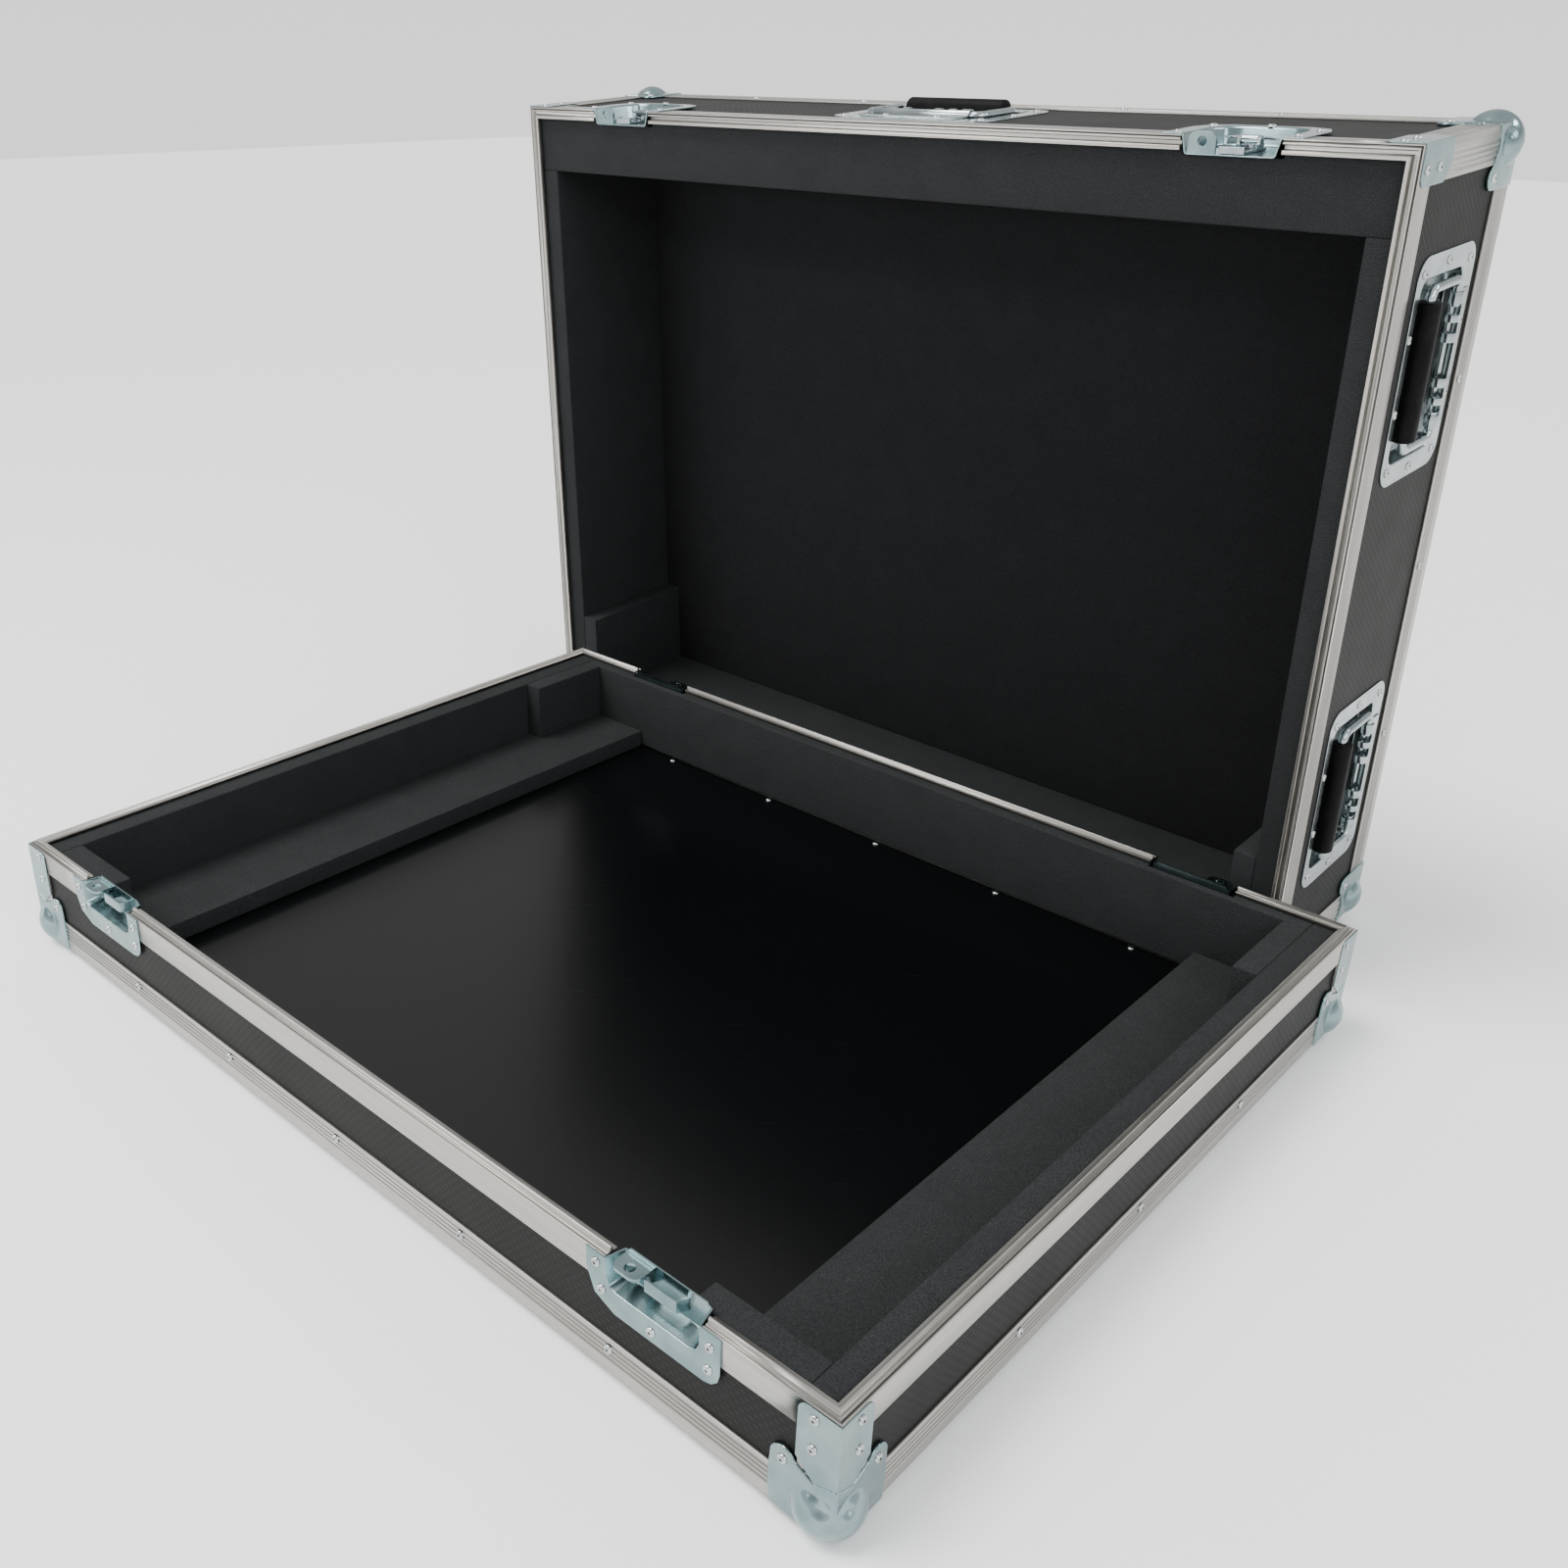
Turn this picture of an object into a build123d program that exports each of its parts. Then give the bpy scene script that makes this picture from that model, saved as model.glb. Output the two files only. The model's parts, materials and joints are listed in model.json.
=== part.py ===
from build123d import *
import math
import os

# Flight case for a mixer: a shallow base tray and a deep lift-off lid that stands behind it.
# Frame: origin on the floor under the middle of the base, X along the width, Y to the back, Z up.

# Case envelope, over the outer faces of the aluminium
case_w = 1000.0
case_d = 756.0
base_h = 100.0
lid_h = 200.0

# Laminated plywood panels and foam
panel_t = 7.0
foam_side = 23.5
foam_back = 13.5
foam_lid_front = 58.0
foam_lid_top = 24.5
foam_drop = 4.0
foam_gap = 0.3
ledge_w = 96.0
ledge_t = 20.0
block_t = 22.0
block_l = 105.0
front_block_t = 27.0
front_block_l = 95.0

# Double-angle extrusion on the edges, box corner with two channels
ext_t = 2.0
edge_leg = 30.0
lip_t = 1.5
lip_l = 11.0
rib_w = 1.6
rib_deep = 0.7
rib_count = 4
chan = ext_t + panel_t

# Tongue and groove extrusion on the rims
rim_leg = 23.0
rim_w = 12.0
rim_web = 2.0
tongue_in = 4.8
tongue_w = 3.4
tongue_h = 3.5
groove_clear = 0.5
rim_lip = 12.0

# Ball corners and corner braces, pressed steel
ball_r = 24.0
ball_in = 15.0
flange_t = 1.2
flange_l = 50.0
lobe_r = 10.0
lobe_u = 40.0
lobe_v = 42.0
notch_u = 16.0
notch_v = 39.5
notch_edge = 46.0
ball_reach = 24.0
foot_flat = 0.3
brace_w = 31.0
brace_side = 53.5
brace_r = 7.0
brace_gap = 1.0
seam = 0.8

# Rivets
rivet_r = 3.8
rivet_h = 1.6
rivet_sides = 8
rivet_pitch_x = 155.0
rivet_pitch_y = 172.0
rivet_edge = 20.0
brace_rivet_v = 9.0

# Recessed butterfly latch: keeper half on the base, turning half on the lid
latch_x = case_w * 0.35
latch_w = 118.0
latch_base_h = 43.0
latch_lid_h = 76.0
latch_t = 1.2
pan_w = 84.0
pan_base_h = 26.0
pan_lid_h = 70.0
pan_deep = 14.0
pan_taper = 14.0
pan_clear = 0.8
plate_rise = 3.0
tab_w = 24.0
tab_t = 2.5
tab_r = 7.0
tab_hole = 4.0
tab_out = 3.0
tab_seam = 0.4
keeper_w = 28.0
keeper_h = 10.0
keeper_out = 9.0
keeper_t = 2.0
rotor_v = 36.0
rotor_r = 11.0
rotor_t = 3.0
ear_t = 2.5
pin_r = 1.8
barrel_t = 1.1
stem_r = 4.0
wing_half = 26.0
wing_reach = 18.0
wing_t = 2.0
hook_t = 2.0
hook_w = 22.0
hook_travel = 12.0
play = 0.3

# Recessed spring handle
handle_len = 187.0
handle_wide = 119.0
handle_v = 100.0
handle_pitch = 396.0
handle_t = 1.2
dish_len = 152.0
dish_wide = 92.0
dish_deep = 13.0
dish_r = 12.0
bail_r = 4.0
bail_half = 66.0
bail_reach = 58.0
bail_bend = 8.0
grip_r = 10.0
grip_half = 57.0
grip_clear = 0.05
hinge_v = 28.0
bail_out = 0.6
knuckle_t = 1.4
leaf_half = 56.0

# Where the lid stands: behind the base on its back wall, leaning forward
lid_gap_x = -72.0
lid_gap_y = 31.5
lid_lean = 3.44
lid_yaw = -1.1

floor_z = ball_r - ball_in - foot_flat
rim_z = floor_z + base_h
half_w = case_w / 2
half_d = case_d / 2
inner = chan + lip_t


def face(pts):
    """Flat face from a closed outline given as points."""
    return make_face(Polyline(*pts, close=True))


def box(x0, x1, y0, y1, z0, z1):
    """Box between two corners."""
    size = (abs(x1 - x0), abs(y1 - y0), abs(z1 - z0))
    return Pos((x0 + x1) / 2, (y0 + y1) / 2, (z0 + z1) / 2) * Box(*size)


def group(parts):
    """One compound of separate solids."""
    return Compound([s for p in parts for s in p.solids()])


def wall(side, along, z):
    """Frame on a wall's outer face: X to the viewer's right, Y up, Z out of the case."""
    if side == "front":
        return Plane(origin=(along, -half_d, z), x_dir=(1, 0, 0), z_dir=(0, -1, 0))
    if side == "back":
        return Plane(origin=(along, half_d, z), x_dir=(-1, 0, 0), z_dir=(0, 1, 0))
    if side == "right":
        return Plane(origin=(half_w, along, z), x_dir=(0, 1, 0), z_dir=(1, 0, 0))
    return Plane(origin=(-half_w, along, z), x_dir=(0, -1, 0), z_dir=(-1, 0, 0))


def rivet(plane, u, v, n):
    """Low domed rivet head standing on height n over a wall's outer face."""
    low = extrude(RegularPolygon(rivet_r, rivet_sides), rivet_h * 0.45)
    top = extrude(Pos(0, 0, rivet_h * 0.45) * RegularPolygon(rivet_r, rivet_sides),
                  rivet_h * 0.55, taper=52)
    return plane * (Pos(u, v, n) * (low + top))


# Extrusion sections


def ribbed_leg(length):
    """Outline points of one leg's outer side with its fine lengthwise ribs."""
    pts = []
    step = (length - chan) / (rib_count + 1)
    for i in range(rib_count):
        c = chan + step * (i + 0.6)
        pts += [(c - rib_w, 0), (c - rib_w * 0.6, rib_deep), (c + rib_w * 0.6, rib_deep), (c + rib_w, 0)]
    return pts


def edge_section():
    """Double angle: outer legs with ribs, hollow box at the corner and two inner lips."""
    leg = ribbed_leg(edge_leg)
    out = [(0, 0)] + leg + [(edge_leg, 0), (edge_leg, ext_t), (inner, ext_t), (inner, chan)]
    out += [(inner + lip_l, chan), (inner + lip_l, inner), (inner, inner)]
    mirror_half = [(v, u) for u, v in reversed(out[1:-1])]
    s = face(out + mirror_half)
    hollow = face([(ext_t, ext_t), (chan, ext_t), (chan, chan), (ext_t, chan)])
    return s - hollow


def rim_section(groove):
    """Rim profile: X into the case from the outer face, Y down the wall from the mating plane."""
    web = rim_web + (tongue_h + groove_clear if groove else 0)
    s = face([(0, 0), (rim_w, 0), (rim_w, web), (inner, web), (inner, rim_lip), (chan, rim_lip),
              (chan, web), (ext_t, web), (ext_t, rim_leg), (0, rim_leg)])
    tip = 0.7
    if groove:
        c = groove_clear
        cut = [(tongue_in - c, 0), (tongue_in + tongue_w + c, 0),
               (tongue_in + tongue_w + c - tip, tongue_h + c), (tongue_in - c + tip, tongue_h + c)]
        s -= face(cut)
        s -= face([(1.3, 0), (2.7, 0), (2.0, 1.3)])
    else:
        s += face([(tongue_in, 0), (tongue_in + tongue_w, 0),
                   (tongue_in + tongue_w - tip, -tongue_h), (tongue_in + tip, -tongue_h)])
        s -= face([(1.3, 0), (2.7, 0), (2.0, 1.3)])
    return s


def rim_ring(groove, z, up):
    """Four mitred rim bars, cut away where the latches stand."""
    bars = []
    for side, long_, off in (("front", case_w, half_d), ("back", case_w, half_d),
                             ("right", case_d, half_w), ("left", case_d, half_w)):
        fr = wall(side, 0, z)
        inward = -fr.z_dir
        down = Vector(0, 0, 1 if up else -1)
        run = inward.cross(down)
        pl = Plane(origin=fr.origin - run * (long_ / 2), x_dir=inward, z_dir=run)
        bar = extrude(pl * rim_section(groove), long_)
        tri = face([(-1, -long_), (-1, -long_ / 2 - 1), (rim_w + 60, -long_ / 2 + rim_w + 60),
                    (rim_w + 60, -long_)])
        for flip in (1, -1):
            cutter = extrude(Plane(origin=fr.origin - down * 20, x_dir=inward,
                                   z_dir=down) * (tri if flip > 0 else mirror(tri, Plane.XZ)), 80)
            bar -= cutter
        if side in ("front", "back"):
            for x in (-latch_x, latch_x):
                bar -= fr * box(x - pan_w / 2 - pan_clear, x + pan_w / 2 + pan_clear, -40, 40, -20, 2)
        bars.append(bar)
    return group(bars)


def edge_ring(z, up, start):
    """Four edge bars round an outer panel, cut square inside the ball corners."""
    bars = []
    for side, long_ in (("front", case_w), ("back", case_w), ("right", case_d), ("left", case_d)):
        fr = wall(side, 0, z)
        inward = -fr.z_dir
        upward = Vector(0, 0, 1 if up else -1)
        run = inward.cross(upward)
        pl = Plane(origin=fr.origin - run * (long_ / 2 - start), x_dir=inward, z_dir=run)
        bars.append(extrude(pl * edge_section(), long_ - 2 * start))
    return group(bars)


def corner_posts(z0, z1):
    """Upright double angles on the four wall corners."""
    posts = []
    for sx in (1, -1):
        for sy in (1, -1):
            along = Vector(-sx, 0, 0)
            pl = Plane(origin=(sx * half_w, sy * half_d, z0), x_dir=(-sx, 0, 0), z_dir=(0, 0, 1))
            if pl.y_dir.Y * sy > 0:
                pl = Plane(origin=(sx * half_w, sy * half_d, z0), x_dir=(0, -sy, 0), z_dir=(0, 0, 1))
            posts.append(extrude(pl * edge_section(), z1 - z0))
    return group(posts)


# Pressed corners


def side_flange():
    """Flange of a ball corner on an upright wall: X from the corner, Y from the outer panel."""
    s = face([(-flange_t, -flange_t), (flange_l - 1, -flange_t), (flange_l + 1, notch_u), (flange_l, lobe_v),
              (lobe_u, lobe_v), (lobe_u - lobe_r * 0.9, lobe_v + lobe_r * 0.4), (notch_u, notch_v),
              (-flange_t, notch_edge)])
    return s + Pos(lobe_u, lobe_v) * Circle(lobe_r)


def panel_flange():
    """Flange of a ball corner on the outer panel, one lobe beside each edge."""
    a = lobe_u
    b = lobe_r + 3
    s = face([(-flange_t, -flange_t), (flange_l, -flange_t), (flange_l, b), (a, b + lobe_r * 0.9),
              (b + lobe_r * 2, b + lobe_r * 2), (b + lobe_r * 0.9, a), (b, flange_l), (-flange_t, flange_l)])
    return s + Pos(a, b) * Circle(lobe_r) + Pos(b, a) * Circle(lobe_r)


def ball_corner(foot):
    """Ball corner for the corner at the origin, case towards +X, +Y and +Z."""
    side_x = extrude(Plane(origin=(0, 0, 0), x_dir=(1, 0, 0), z_dir=(0, -1, 0)) * side_flange(), flange_t)
    side_y = extrude(Plane(origin=(0, 0, 0), x_dir=(0, 1, 0), z_dir=(1, 0, 0)) * side_flange(), -flange_t)
    under = extrude(Plane.XY * panel_flange(), -flange_t)
    ball = Pos(ball_in, ball_in, ball_in) * Sphere(ball_r)
    k = inner
    bars = box(0, ball_reach, 0, k, 0, k) + box(0, k, 0, ball_reach, 0, k) + box(0, k, 0, k, 0, ball_reach)
    out = (ball + side_x + side_y + under) - box(0, 90, 0, 90, 0, 90)
    tip = box(-3, ball_in, -3, ball_in, -3, ball_in) - ball
    piece = out + (ball & bars) - tip
    if foot:
        piece -= box(-50, 90, -50, 90, -40, -(ball_r - ball_in) + foot_flat)
    return piece


def brace():
    """Corner brace for the corner at the origin, case towards +X and +Y, rim at Z = 0 and wall up."""
    low = base_h - brace_side
    n_v = base_h - notch_v - seam
    e_v = base_h - notch_edge - seam
    leg = face([(-flange_t, brace_gap), (brace_w, brace_gap), (brace_w, low), (notch_u, n_v), (-flange_t, e_v)])
    corner = [v for v in leg.vertices() if abs(v.X - brace_w) < 1e-6 and v.Y < brace_gap + 1e-6]
    leg = fillet(corner, brace_r)
    a = extrude(Plane(origin=(0, 0, 0), x_dir=(1, 0, 0), z_dir=(0, -1, 0)) * leg, flange_t)
    b = extrude(Plane(origin=(0, 0, 0), x_dir=(0, 1, 0), z_dir=(1, 0, 0)) * leg, -flange_t)
    return a + b


def four_corners(piece, z, flip):
    """The piece at the front left corner and its mirror images at the other three."""
    one = mirror(piece, Plane.XY) if flip else piece
    fl = Pos(-half_w, -half_d, z) * one
    fr = mirror(fl, Plane.YZ)
    return [fl, fr, mirror(fl, Plane.XZ), mirror(fr, Plane.XZ)]


# Butterfly latch


def latch_flange(height, side):
    """Flange outline of a latch half; side is -1 below the rim and 1 above it."""
    h = height
    w = latch_w / 2
    big = 26.0
    small = 14.0
    pts = [(-w, 0), (-w, h - big), (-w + big * 0.3, h - big * 0.3), (-w + big, h), (w - small, h),
           (w - small * 0.5, h - small * 0.13), (w - small * 0.13, h - small * 0.5), (w, h - small), (w, 0)]
    if side > 0:
        pts[4:8] = [(w - big, h), (w - big * 0.3, h - big * 0.3), (w, h - big)]
    return face([(u, side * v) for u, v in pts])


def pan_outline(height, side, grow):
    """Opening outline of a latch pan, open towards the rim."""
    w = pan_w / 2 + grow
    h = height + grow
    r = 9.0 if side < 0 else 20.0
    pts = [(-w, 0), (-w, h - r), (-w + r * 0.3, h - r * 0.3), (-w + r, h), (w - r, h),
           (w - r * 0.3, h - r * 0.3), (w, h - r), (w, 0)]
    return face([(u, side * v) for u, v in pts])


def pan_solid(height, side, grow, deep):
    """Tapered block of a latch pan, cut off square at the rim plane."""
    tall = extrude(pan_outline(height, side, grow) + mirror(pan_outline(height, side, grow), Plane.XZ),
                   -deep, taper=pan_taper)
    keep = box(-80, 80, 0, side * 90, -40, 40)
    return tall & keep


def latch_dish(height, side, flange_h):
    """Pressed dish of a latch half in its wall frame, flange over the aluminium."""
    flange = extrude(latch_flange(flange_h, side), latch_t)
    shell = flange + pan_solid(height, side, 0, pan_deep + latch_t)
    shell -= Pos(0, 0, latch_t) * pan_solid(height, side, -latch_t, pan_deep + latch_t)
    if side < 0:
        w = pan_w / 2 - (pan_deep + latch_t) * math.tan(math.radians(pan_taper)) - 2
        plate = face([(-w, -1), (w, -1), (w, plate_rise - 3), (w - 3, plate_rise), (-w + 3, plate_rise),
                      (-w, plate_rise - 3)])
        shell += Pos(0, 0, -pan_deep - latch_t) * extrude(plate, latch_t)
    return shell


def padlock_tab(side):
    """Flat tab with a padlock eye, parallel to the rim, standing on the pan floor."""
    x0 = -pan_w / 2 + 6.0
    x1 = x0 + tab_w
    top = tab_out
    s = face([(x0, -pan_deep), (x1, -pan_deep), (x1, top), (x0, top)])
    ends = [v for v in s.vertices() if v.Y > top - 1e-6]
    s = fillet(ends, tab_r)
    s -= Pos((x0 + x1) / 2, top - tab_r - 0.5) * Circle(tab_hole)
    z0 = side * tab_seam
    pl = Plane(origin=(0, z0, 0), x_dir=(1, 0, 0), z_dir=(0, -1, 0))
    return extrude(pl * s, -side * tab_t)


def keeper():
    """Raised bridge in the base half that the hook pulls on."""
    w = keeper_w / 2
    x = 2.0
    y0 = -3.0
    y1 = y0 - keeper_h
    top = keeper_out - pan_deep
    arch = [(x - w - 4, -pan_deep), (x - w - 1, -pan_deep), (x - w + 2, top - keeper_t), (x + w - 2, top - keeper_t),
            (x + w + 1, -pan_deep), (x + w + 4, -pan_deep), (x + w, top), (x - w, top)]
    pl = Plane(origin=(0, y0, 0), x_dir=(1, 0, 0), z_dir=(0, -1, 0))
    return extrude(pl * face(arch), abs(y1 - y0))


def latch_rotor():
    """Turning boss with two ears and the wing's pin; its stem passes the hook's slot."""
    base_n = -pan_deep + play + hook_t + play
    c = Pos(0, rotor_v, 0)
    disc = Pos(0, 0, base_n + rotor_t / 2) * Cylinder(rotor_r, rotor_t)
    stem_len = base_n - (-pan_deep + play)
    stem = Pos(0, 0, -pan_deep + play + stem_len / 2) * Cylinder(stem_r, stem_len)
    pin_n = base_n + rotor_t + pin_r + play / 2 + barrel_t + play
    ears = []
    for s in (-1, 1):
        x = s * (rotor_r - ear_t)
        prof = face([(-pin_r - 1.6, base_n + rotor_t), (pin_r + 1.6, base_n + rotor_t), (pin_r + 1.4, pin_n + 1),
                     (0, pin_n + pin_r + 1.2), (-pin_r - 1.4, pin_n + 1)])
        pl = Plane(origin=(x - ear_t / 2, 0, 0), x_dir=(0, 1, 0), z_dir=(1, 0, 0))
        ears.append(extrude(pl * prof, ear_t))
    pin = Pos(0, 0, pin_n) * (Rot(0, 90, 0) * Cylinder(pin_r, 2 * (rotor_r - ear_t)))
    return c * (disc + stem + ears[0] + ears[1] + pin), pin_n


def latch_wing(pin_n):
    """Butterfly wing lying flat: barrel on the pin and two lobes away from the rim."""
    clear = play / 2
    inner_half = rotor_r - ear_t * 1.5 - play
    barrel = Rot(0, 90, 0) * Cylinder(pin_r + clear + barrel_t, 2 * inner_half)
    h, r = wing_half, wing_reach
    lobes = face([(-inner_half, -1), (inner_half, -1), (inner_half, 7), (h - 6, 3.5), (h, 7.5), (h, 13), (h - 6, r),
                  (h - 12, r), (5, 12.5), (-5, 12.5), (-h + 12, r), (-h + 6, r), (-h, 13), (-h, 7.5),
                  (-h + 6, 3.5), (-inner_half, 7)])
    plate = Pos(0, 0, -wing_t / 2) * extrude(lobes, wing_t)
    w = barrel + plate
    w -= Rot(0, 90, 0) * Cylinder(pin_r + clear, 4 * inner_half)
    return Pos(0, rotor_v, pin_n) * w


def latch_hook():
    """Hook plate under the rotor, drawn back from the rim; its nose bends outwards."""
    n0 = -pan_deep + play
    w = hook_w / 2
    tail = rotor_v + rotor_r + 2
    s = face([(-w, 3.2), (w, 3.2), (w, tail - 6), (w - 6, tail), (-w + 6, tail), (-w, tail - 6)])
    slot_half = stem_r + play
    s -= Pos(0, rotor_v + hook_travel / 2) * SlotOverall(hook_travel + 2 * slot_half, 2 * slot_half, rotation=90)
    plate = Pos(2, 0, n0) * extrude(Pos(-2, 0) * s, hook_t)
    nose = Pos(0, 0, n0) * extrude(face([(-w, 3.2), (w, 3.2), (w, 5.6), (-w, 5.6)]), hook_t + 3.4)
    return plate + nose


# Spring handle


def handle_dish():
    """Flange and pan of a handle, lying on the panel face, long side along X."""
    n = -ext_t
    flange = Pos(0, 0, n) * extrude(RectangleRounded(handle_len, handle_wide, 18), handle_t)
    pan = Pos(0, -4, n + handle_t) * extrude(RectangleRounded(dish_len, dish_wide, dish_r),
                                             -(dish_deep + handle_t), taper=12)
    cut = Pos(0, -4, n + handle_t) * extrude(RectangleRounded(dish_len - 2 * handle_t, dish_wide - 2 * handle_t,
                                                              dish_r - handle_t), -dish_deep, taper=12)
    return flange + pan - cut


def dish_floor():
    """Depth of a handle dish's inner floor below the case's outer face."""
    return -ext_t + handle_t - dish_deep


def handle_hinge():
    """Hinge leaf over the dish's edge with its rolled knuckle."""
    r_in = bail_r + play
    r_out = r_in + knuckle_t
    tube = Pos(0, hinge_v, 0) * (Rot(0, 90, 0) * (Cylinder(r_out, 2 * leaf_half) - Cylinder(r_in, 3 * leaf_half)))
    seat = -ext_t + handle_t - bail_out
    v1 = handle_wide / 2 - 5
    leaf = face([(hinge_v + r_out - 0.3, -1.5), (hinge_v + r_out + 1.6, seat), (v1, seat), (v1, seat + knuckle_t),
                 (hinge_v + r_out + 2.4, seat + knuckle_t), (hinge_v + r_in + 0.2, 1.6)])
    pl = Plane(origin=(-leaf_half, 0, 0), x_dir=(0, 1, 0), z_dir=(1, 0, 0))
    body = extrude(pl * leaf, 2 * leaf_half)
    body -= Pos(0, hinge_v, 0) * (Rot(0, 90, 0) * Cylinder(r_in, 3 * leaf_half))
    return tube + body


def handle_bail():
    """Round steel bail folded flat: pivot stubs in the knuckle, two arms and the grip bar."""
    a = bail_half
    v0, v1 = hinge_v, hinge_v - bail_reach
    s = leaf_half - 12
    path = FilletPolyline((s, v0, 0), (a, v0, 0), (a, v1, 0), (-a, v1, 0), (-a, v0, 0), (-s, v0, 0),
                          radius=bail_bend)
    sec = Plane(origin=(s, v0, 0), z_dir=(1, 0, 0)) * Circle(bail_r)
    return sweep(sec, path=path)


def handle_grip():
    """Rubber sleeve on the bail's bar."""
    g = Cylinder(grip_r, 2 * grip_half)
    g = chamfer(g.edges().filter_by(GeomType.CIRCLE), 1.5)
    g -= Cylinder(bail_r + grip_clear, 4 * grip_half)
    return Pos(0, hinge_v - bail_reach, 0) * (Rot(0, 90, 0) * g)


# Panels with their cut-outs


def wall_panels(z0, z1, z_rim, side_sign, pan_h, handles):
    """Front, back, left and right panel between two heights, cut for latch pans and handles."""
    out = {}
    x = half_w - inner
    y = half_d - inner
    out["front"] = box(-x, x, -half_d + ext_t, -half_d + chan, z0, z1)
    out["back"] = box(-x, x, half_d - chan, half_d - ext_t, z0, z1)
    out["left"] = box(-half_w + ext_t, -half_w + chan, -y, y, z0, z1)
    out["right"] = box(half_w - chan, half_w - ext_t, -y, y, z0, z1)
    for side in ("front", "back"):
        for lx in (-latch_x, latch_x):
            w = pan_w / 2 + pan_clear
            cut = box(-w, w, -side_sign * 1, side_sign * (pan_h + pan_clear), -30, 2)
            out[side] -= wall(side, lx, z_rim) * cut
    x1, y1 = dish_len / 2 + pan_clear, dish_wide / 2 + pan_clear
    for side, frame in handles:
        out[side] -= frame * box(-x1, x1, -4 - y1, -4 + y1, -30, 2)
    return out


nodes = {}

# Base tray
floor_top = floor_z + chan
base_walls = wall_panels(floor_z + inner, rim_z - rim_web, rim_z, -1, pan_base_h, [])
for side, panel in base_walls.items():
    nodes["base_" + side + "_panel"] = panel
nodes["base_floor_panel"] = box(-half_w + inner, half_w - inner, -half_d + inner, half_d - inner,
                                floor_z + ext_t, floor_top)
nodes["base_edge_extrusions"] = edge_ring(floor_z, True, ball_reach + play)
nodes["base_rim_extrusions"] = rim_ring(False, rim_z, False)
nodes["base_corner_posts"] = corner_posts(floor_z + edge_leg, rim_z - rim_leg)
nodes["base_ball_corners"] = group(four_corners(ball_corner(True), floor_z, False))
nodes["base_corner_braces"] = group(four_corners(brace(), rim_z, True))

foam_top = rim_z - foam_drop
foam_low = floor_z + inner
sx1 = half_w - inner
sx0 = sx1 - foam_side
by1 = half_d - inner
by0 = by1 - foam_back


def both(x0, x1, y0, y1, z0, z1):
    """A foam piece and its mirror image on the other side."""
    return group([box(x0, x1, y0, y1, z0, z1), box(-x1, -x0, y0, y1, z0, z1)])


def pan_pockets(foam, z_rim, side_sign, pan_h):
    """Foam cut out round the latch pans that reach into it."""
    w = pan_w / 2 + pan_clear
    for side in ("front", "back"):
        for lx in (-latch_x, latch_x):
            foam -= wall(side, lx, z_rim) * box(-w, w, -side_sign * 8, side_sign * (pan_h + pan_clear),
                                                -pan_deep - latch_t - play, 2)
    return foam


def dish_pockets(foam, frames):
    """Foam cut out round the handle dishes that reach into it."""
    x, y = dish_len / 2 + pan_clear, dish_wide / 2 + pan_clear
    for fr in frames:
        foam -= fr * box(-x, x, -4 - y, -4 + y, dish_floor() - handle_t - play, 2)
    return foam


nodes["base_foam_sides"] = both(sx0, sx1, -by1, by1, foam_low, foam_top)
back_foam = box(-sx0, sx0, by0, by1, foam_low, foam_top)
nodes["base_foam_back"] = pan_pockets(back_foam, rim_z, -1, pan_base_h)
ledges = both(sx0 - ledge_w, sx0, -by1, by0, floor_top, floor_top + ledge_t)
lip_room = box(-half_w, half_w, -by1, -by1 + lip_l, floor_top, foam_low)
nodes["base_foam_ledges"] = group([ledge - lip_room for ledge in ledges.solids()])
nodes["base_foam_back_blocks"] = both(sx0 - block_t, sx0, by0 - block_l, by0, floor_top + ledge_t, foam_top)
fb0 = sx0 - front_block_l
front_blocks = both(fb0, sx0, -by1, -by1 + front_block_t, floor_top + ledge_t, foam_top)
nodes["base_foam_front_blocks"] = group([pan_pockets(b, rim_z, -1, pan_base_h) for b in front_blocks.solids()])

dishes = []
fittings = []
base_frames = [wall(s, x, rim_z) for s in ("front", "back") for x in (-latch_x, latch_x)]
keeper_dish = latch_dish(pan_base_h, -1, latch_base_h)
keeper_tab = padlock_tab(-1)
keeper_bridge = keeper()
for fr in base_frames:
    dishes.append(fr * keeper_dish)
    fittings.append(fr * keeper_tab)
    fittings.append(fr * keeper_bridge)
nodes["base_keeper_dishes"] = group(dishes)
nodes["base_keeper_fittings"] = group(fittings)

# Lid, built closed with its rim at Z = 0 and the top panel at lid_h
handle_frames = [Plane(origin=(0, -half_d, handle_v), x_dir=(-1, 0, 0), z_dir=(0, -1, 0))]
handle_sides = ["front"]
for s in ("left", "right"):
    for along in (-handle_pitch / 2, handle_pitch / 2):
        handle_frames.append(wall(s, along, handle_v))
        handle_sides.append(s)
lid = {}
groove_web = rim_web + tongue_h + groove_clear
lid_walls = wall_panels(groove_web, lid_h - inner, 0, 1, pan_lid_h, list(zip(handle_sides, handle_frames)))
for side, panel in lid_walls.items():
    lid["lid_" + side + "_panel"] = panel
lid["lid_top_panel"] = box(-half_w + inner, half_w - inner, -half_d + inner, half_d - inner,
                           lid_h - chan, lid_h - ext_t)
lid["lid_edge_extrusions"] = edge_ring(lid_h, False, ball_reach + play)
lid["lid_rim_extrusions"] = rim_ring(True, 0, True)
lid["lid_corner_posts"] = corner_posts(rim_leg, lid_h - edge_leg)
lid["lid_ball_corners"] = group(four_corners(ball_corner(False), lid_h, True))
lid["lid_corner_braces"] = group(four_corners(brace(), 0, False))

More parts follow.
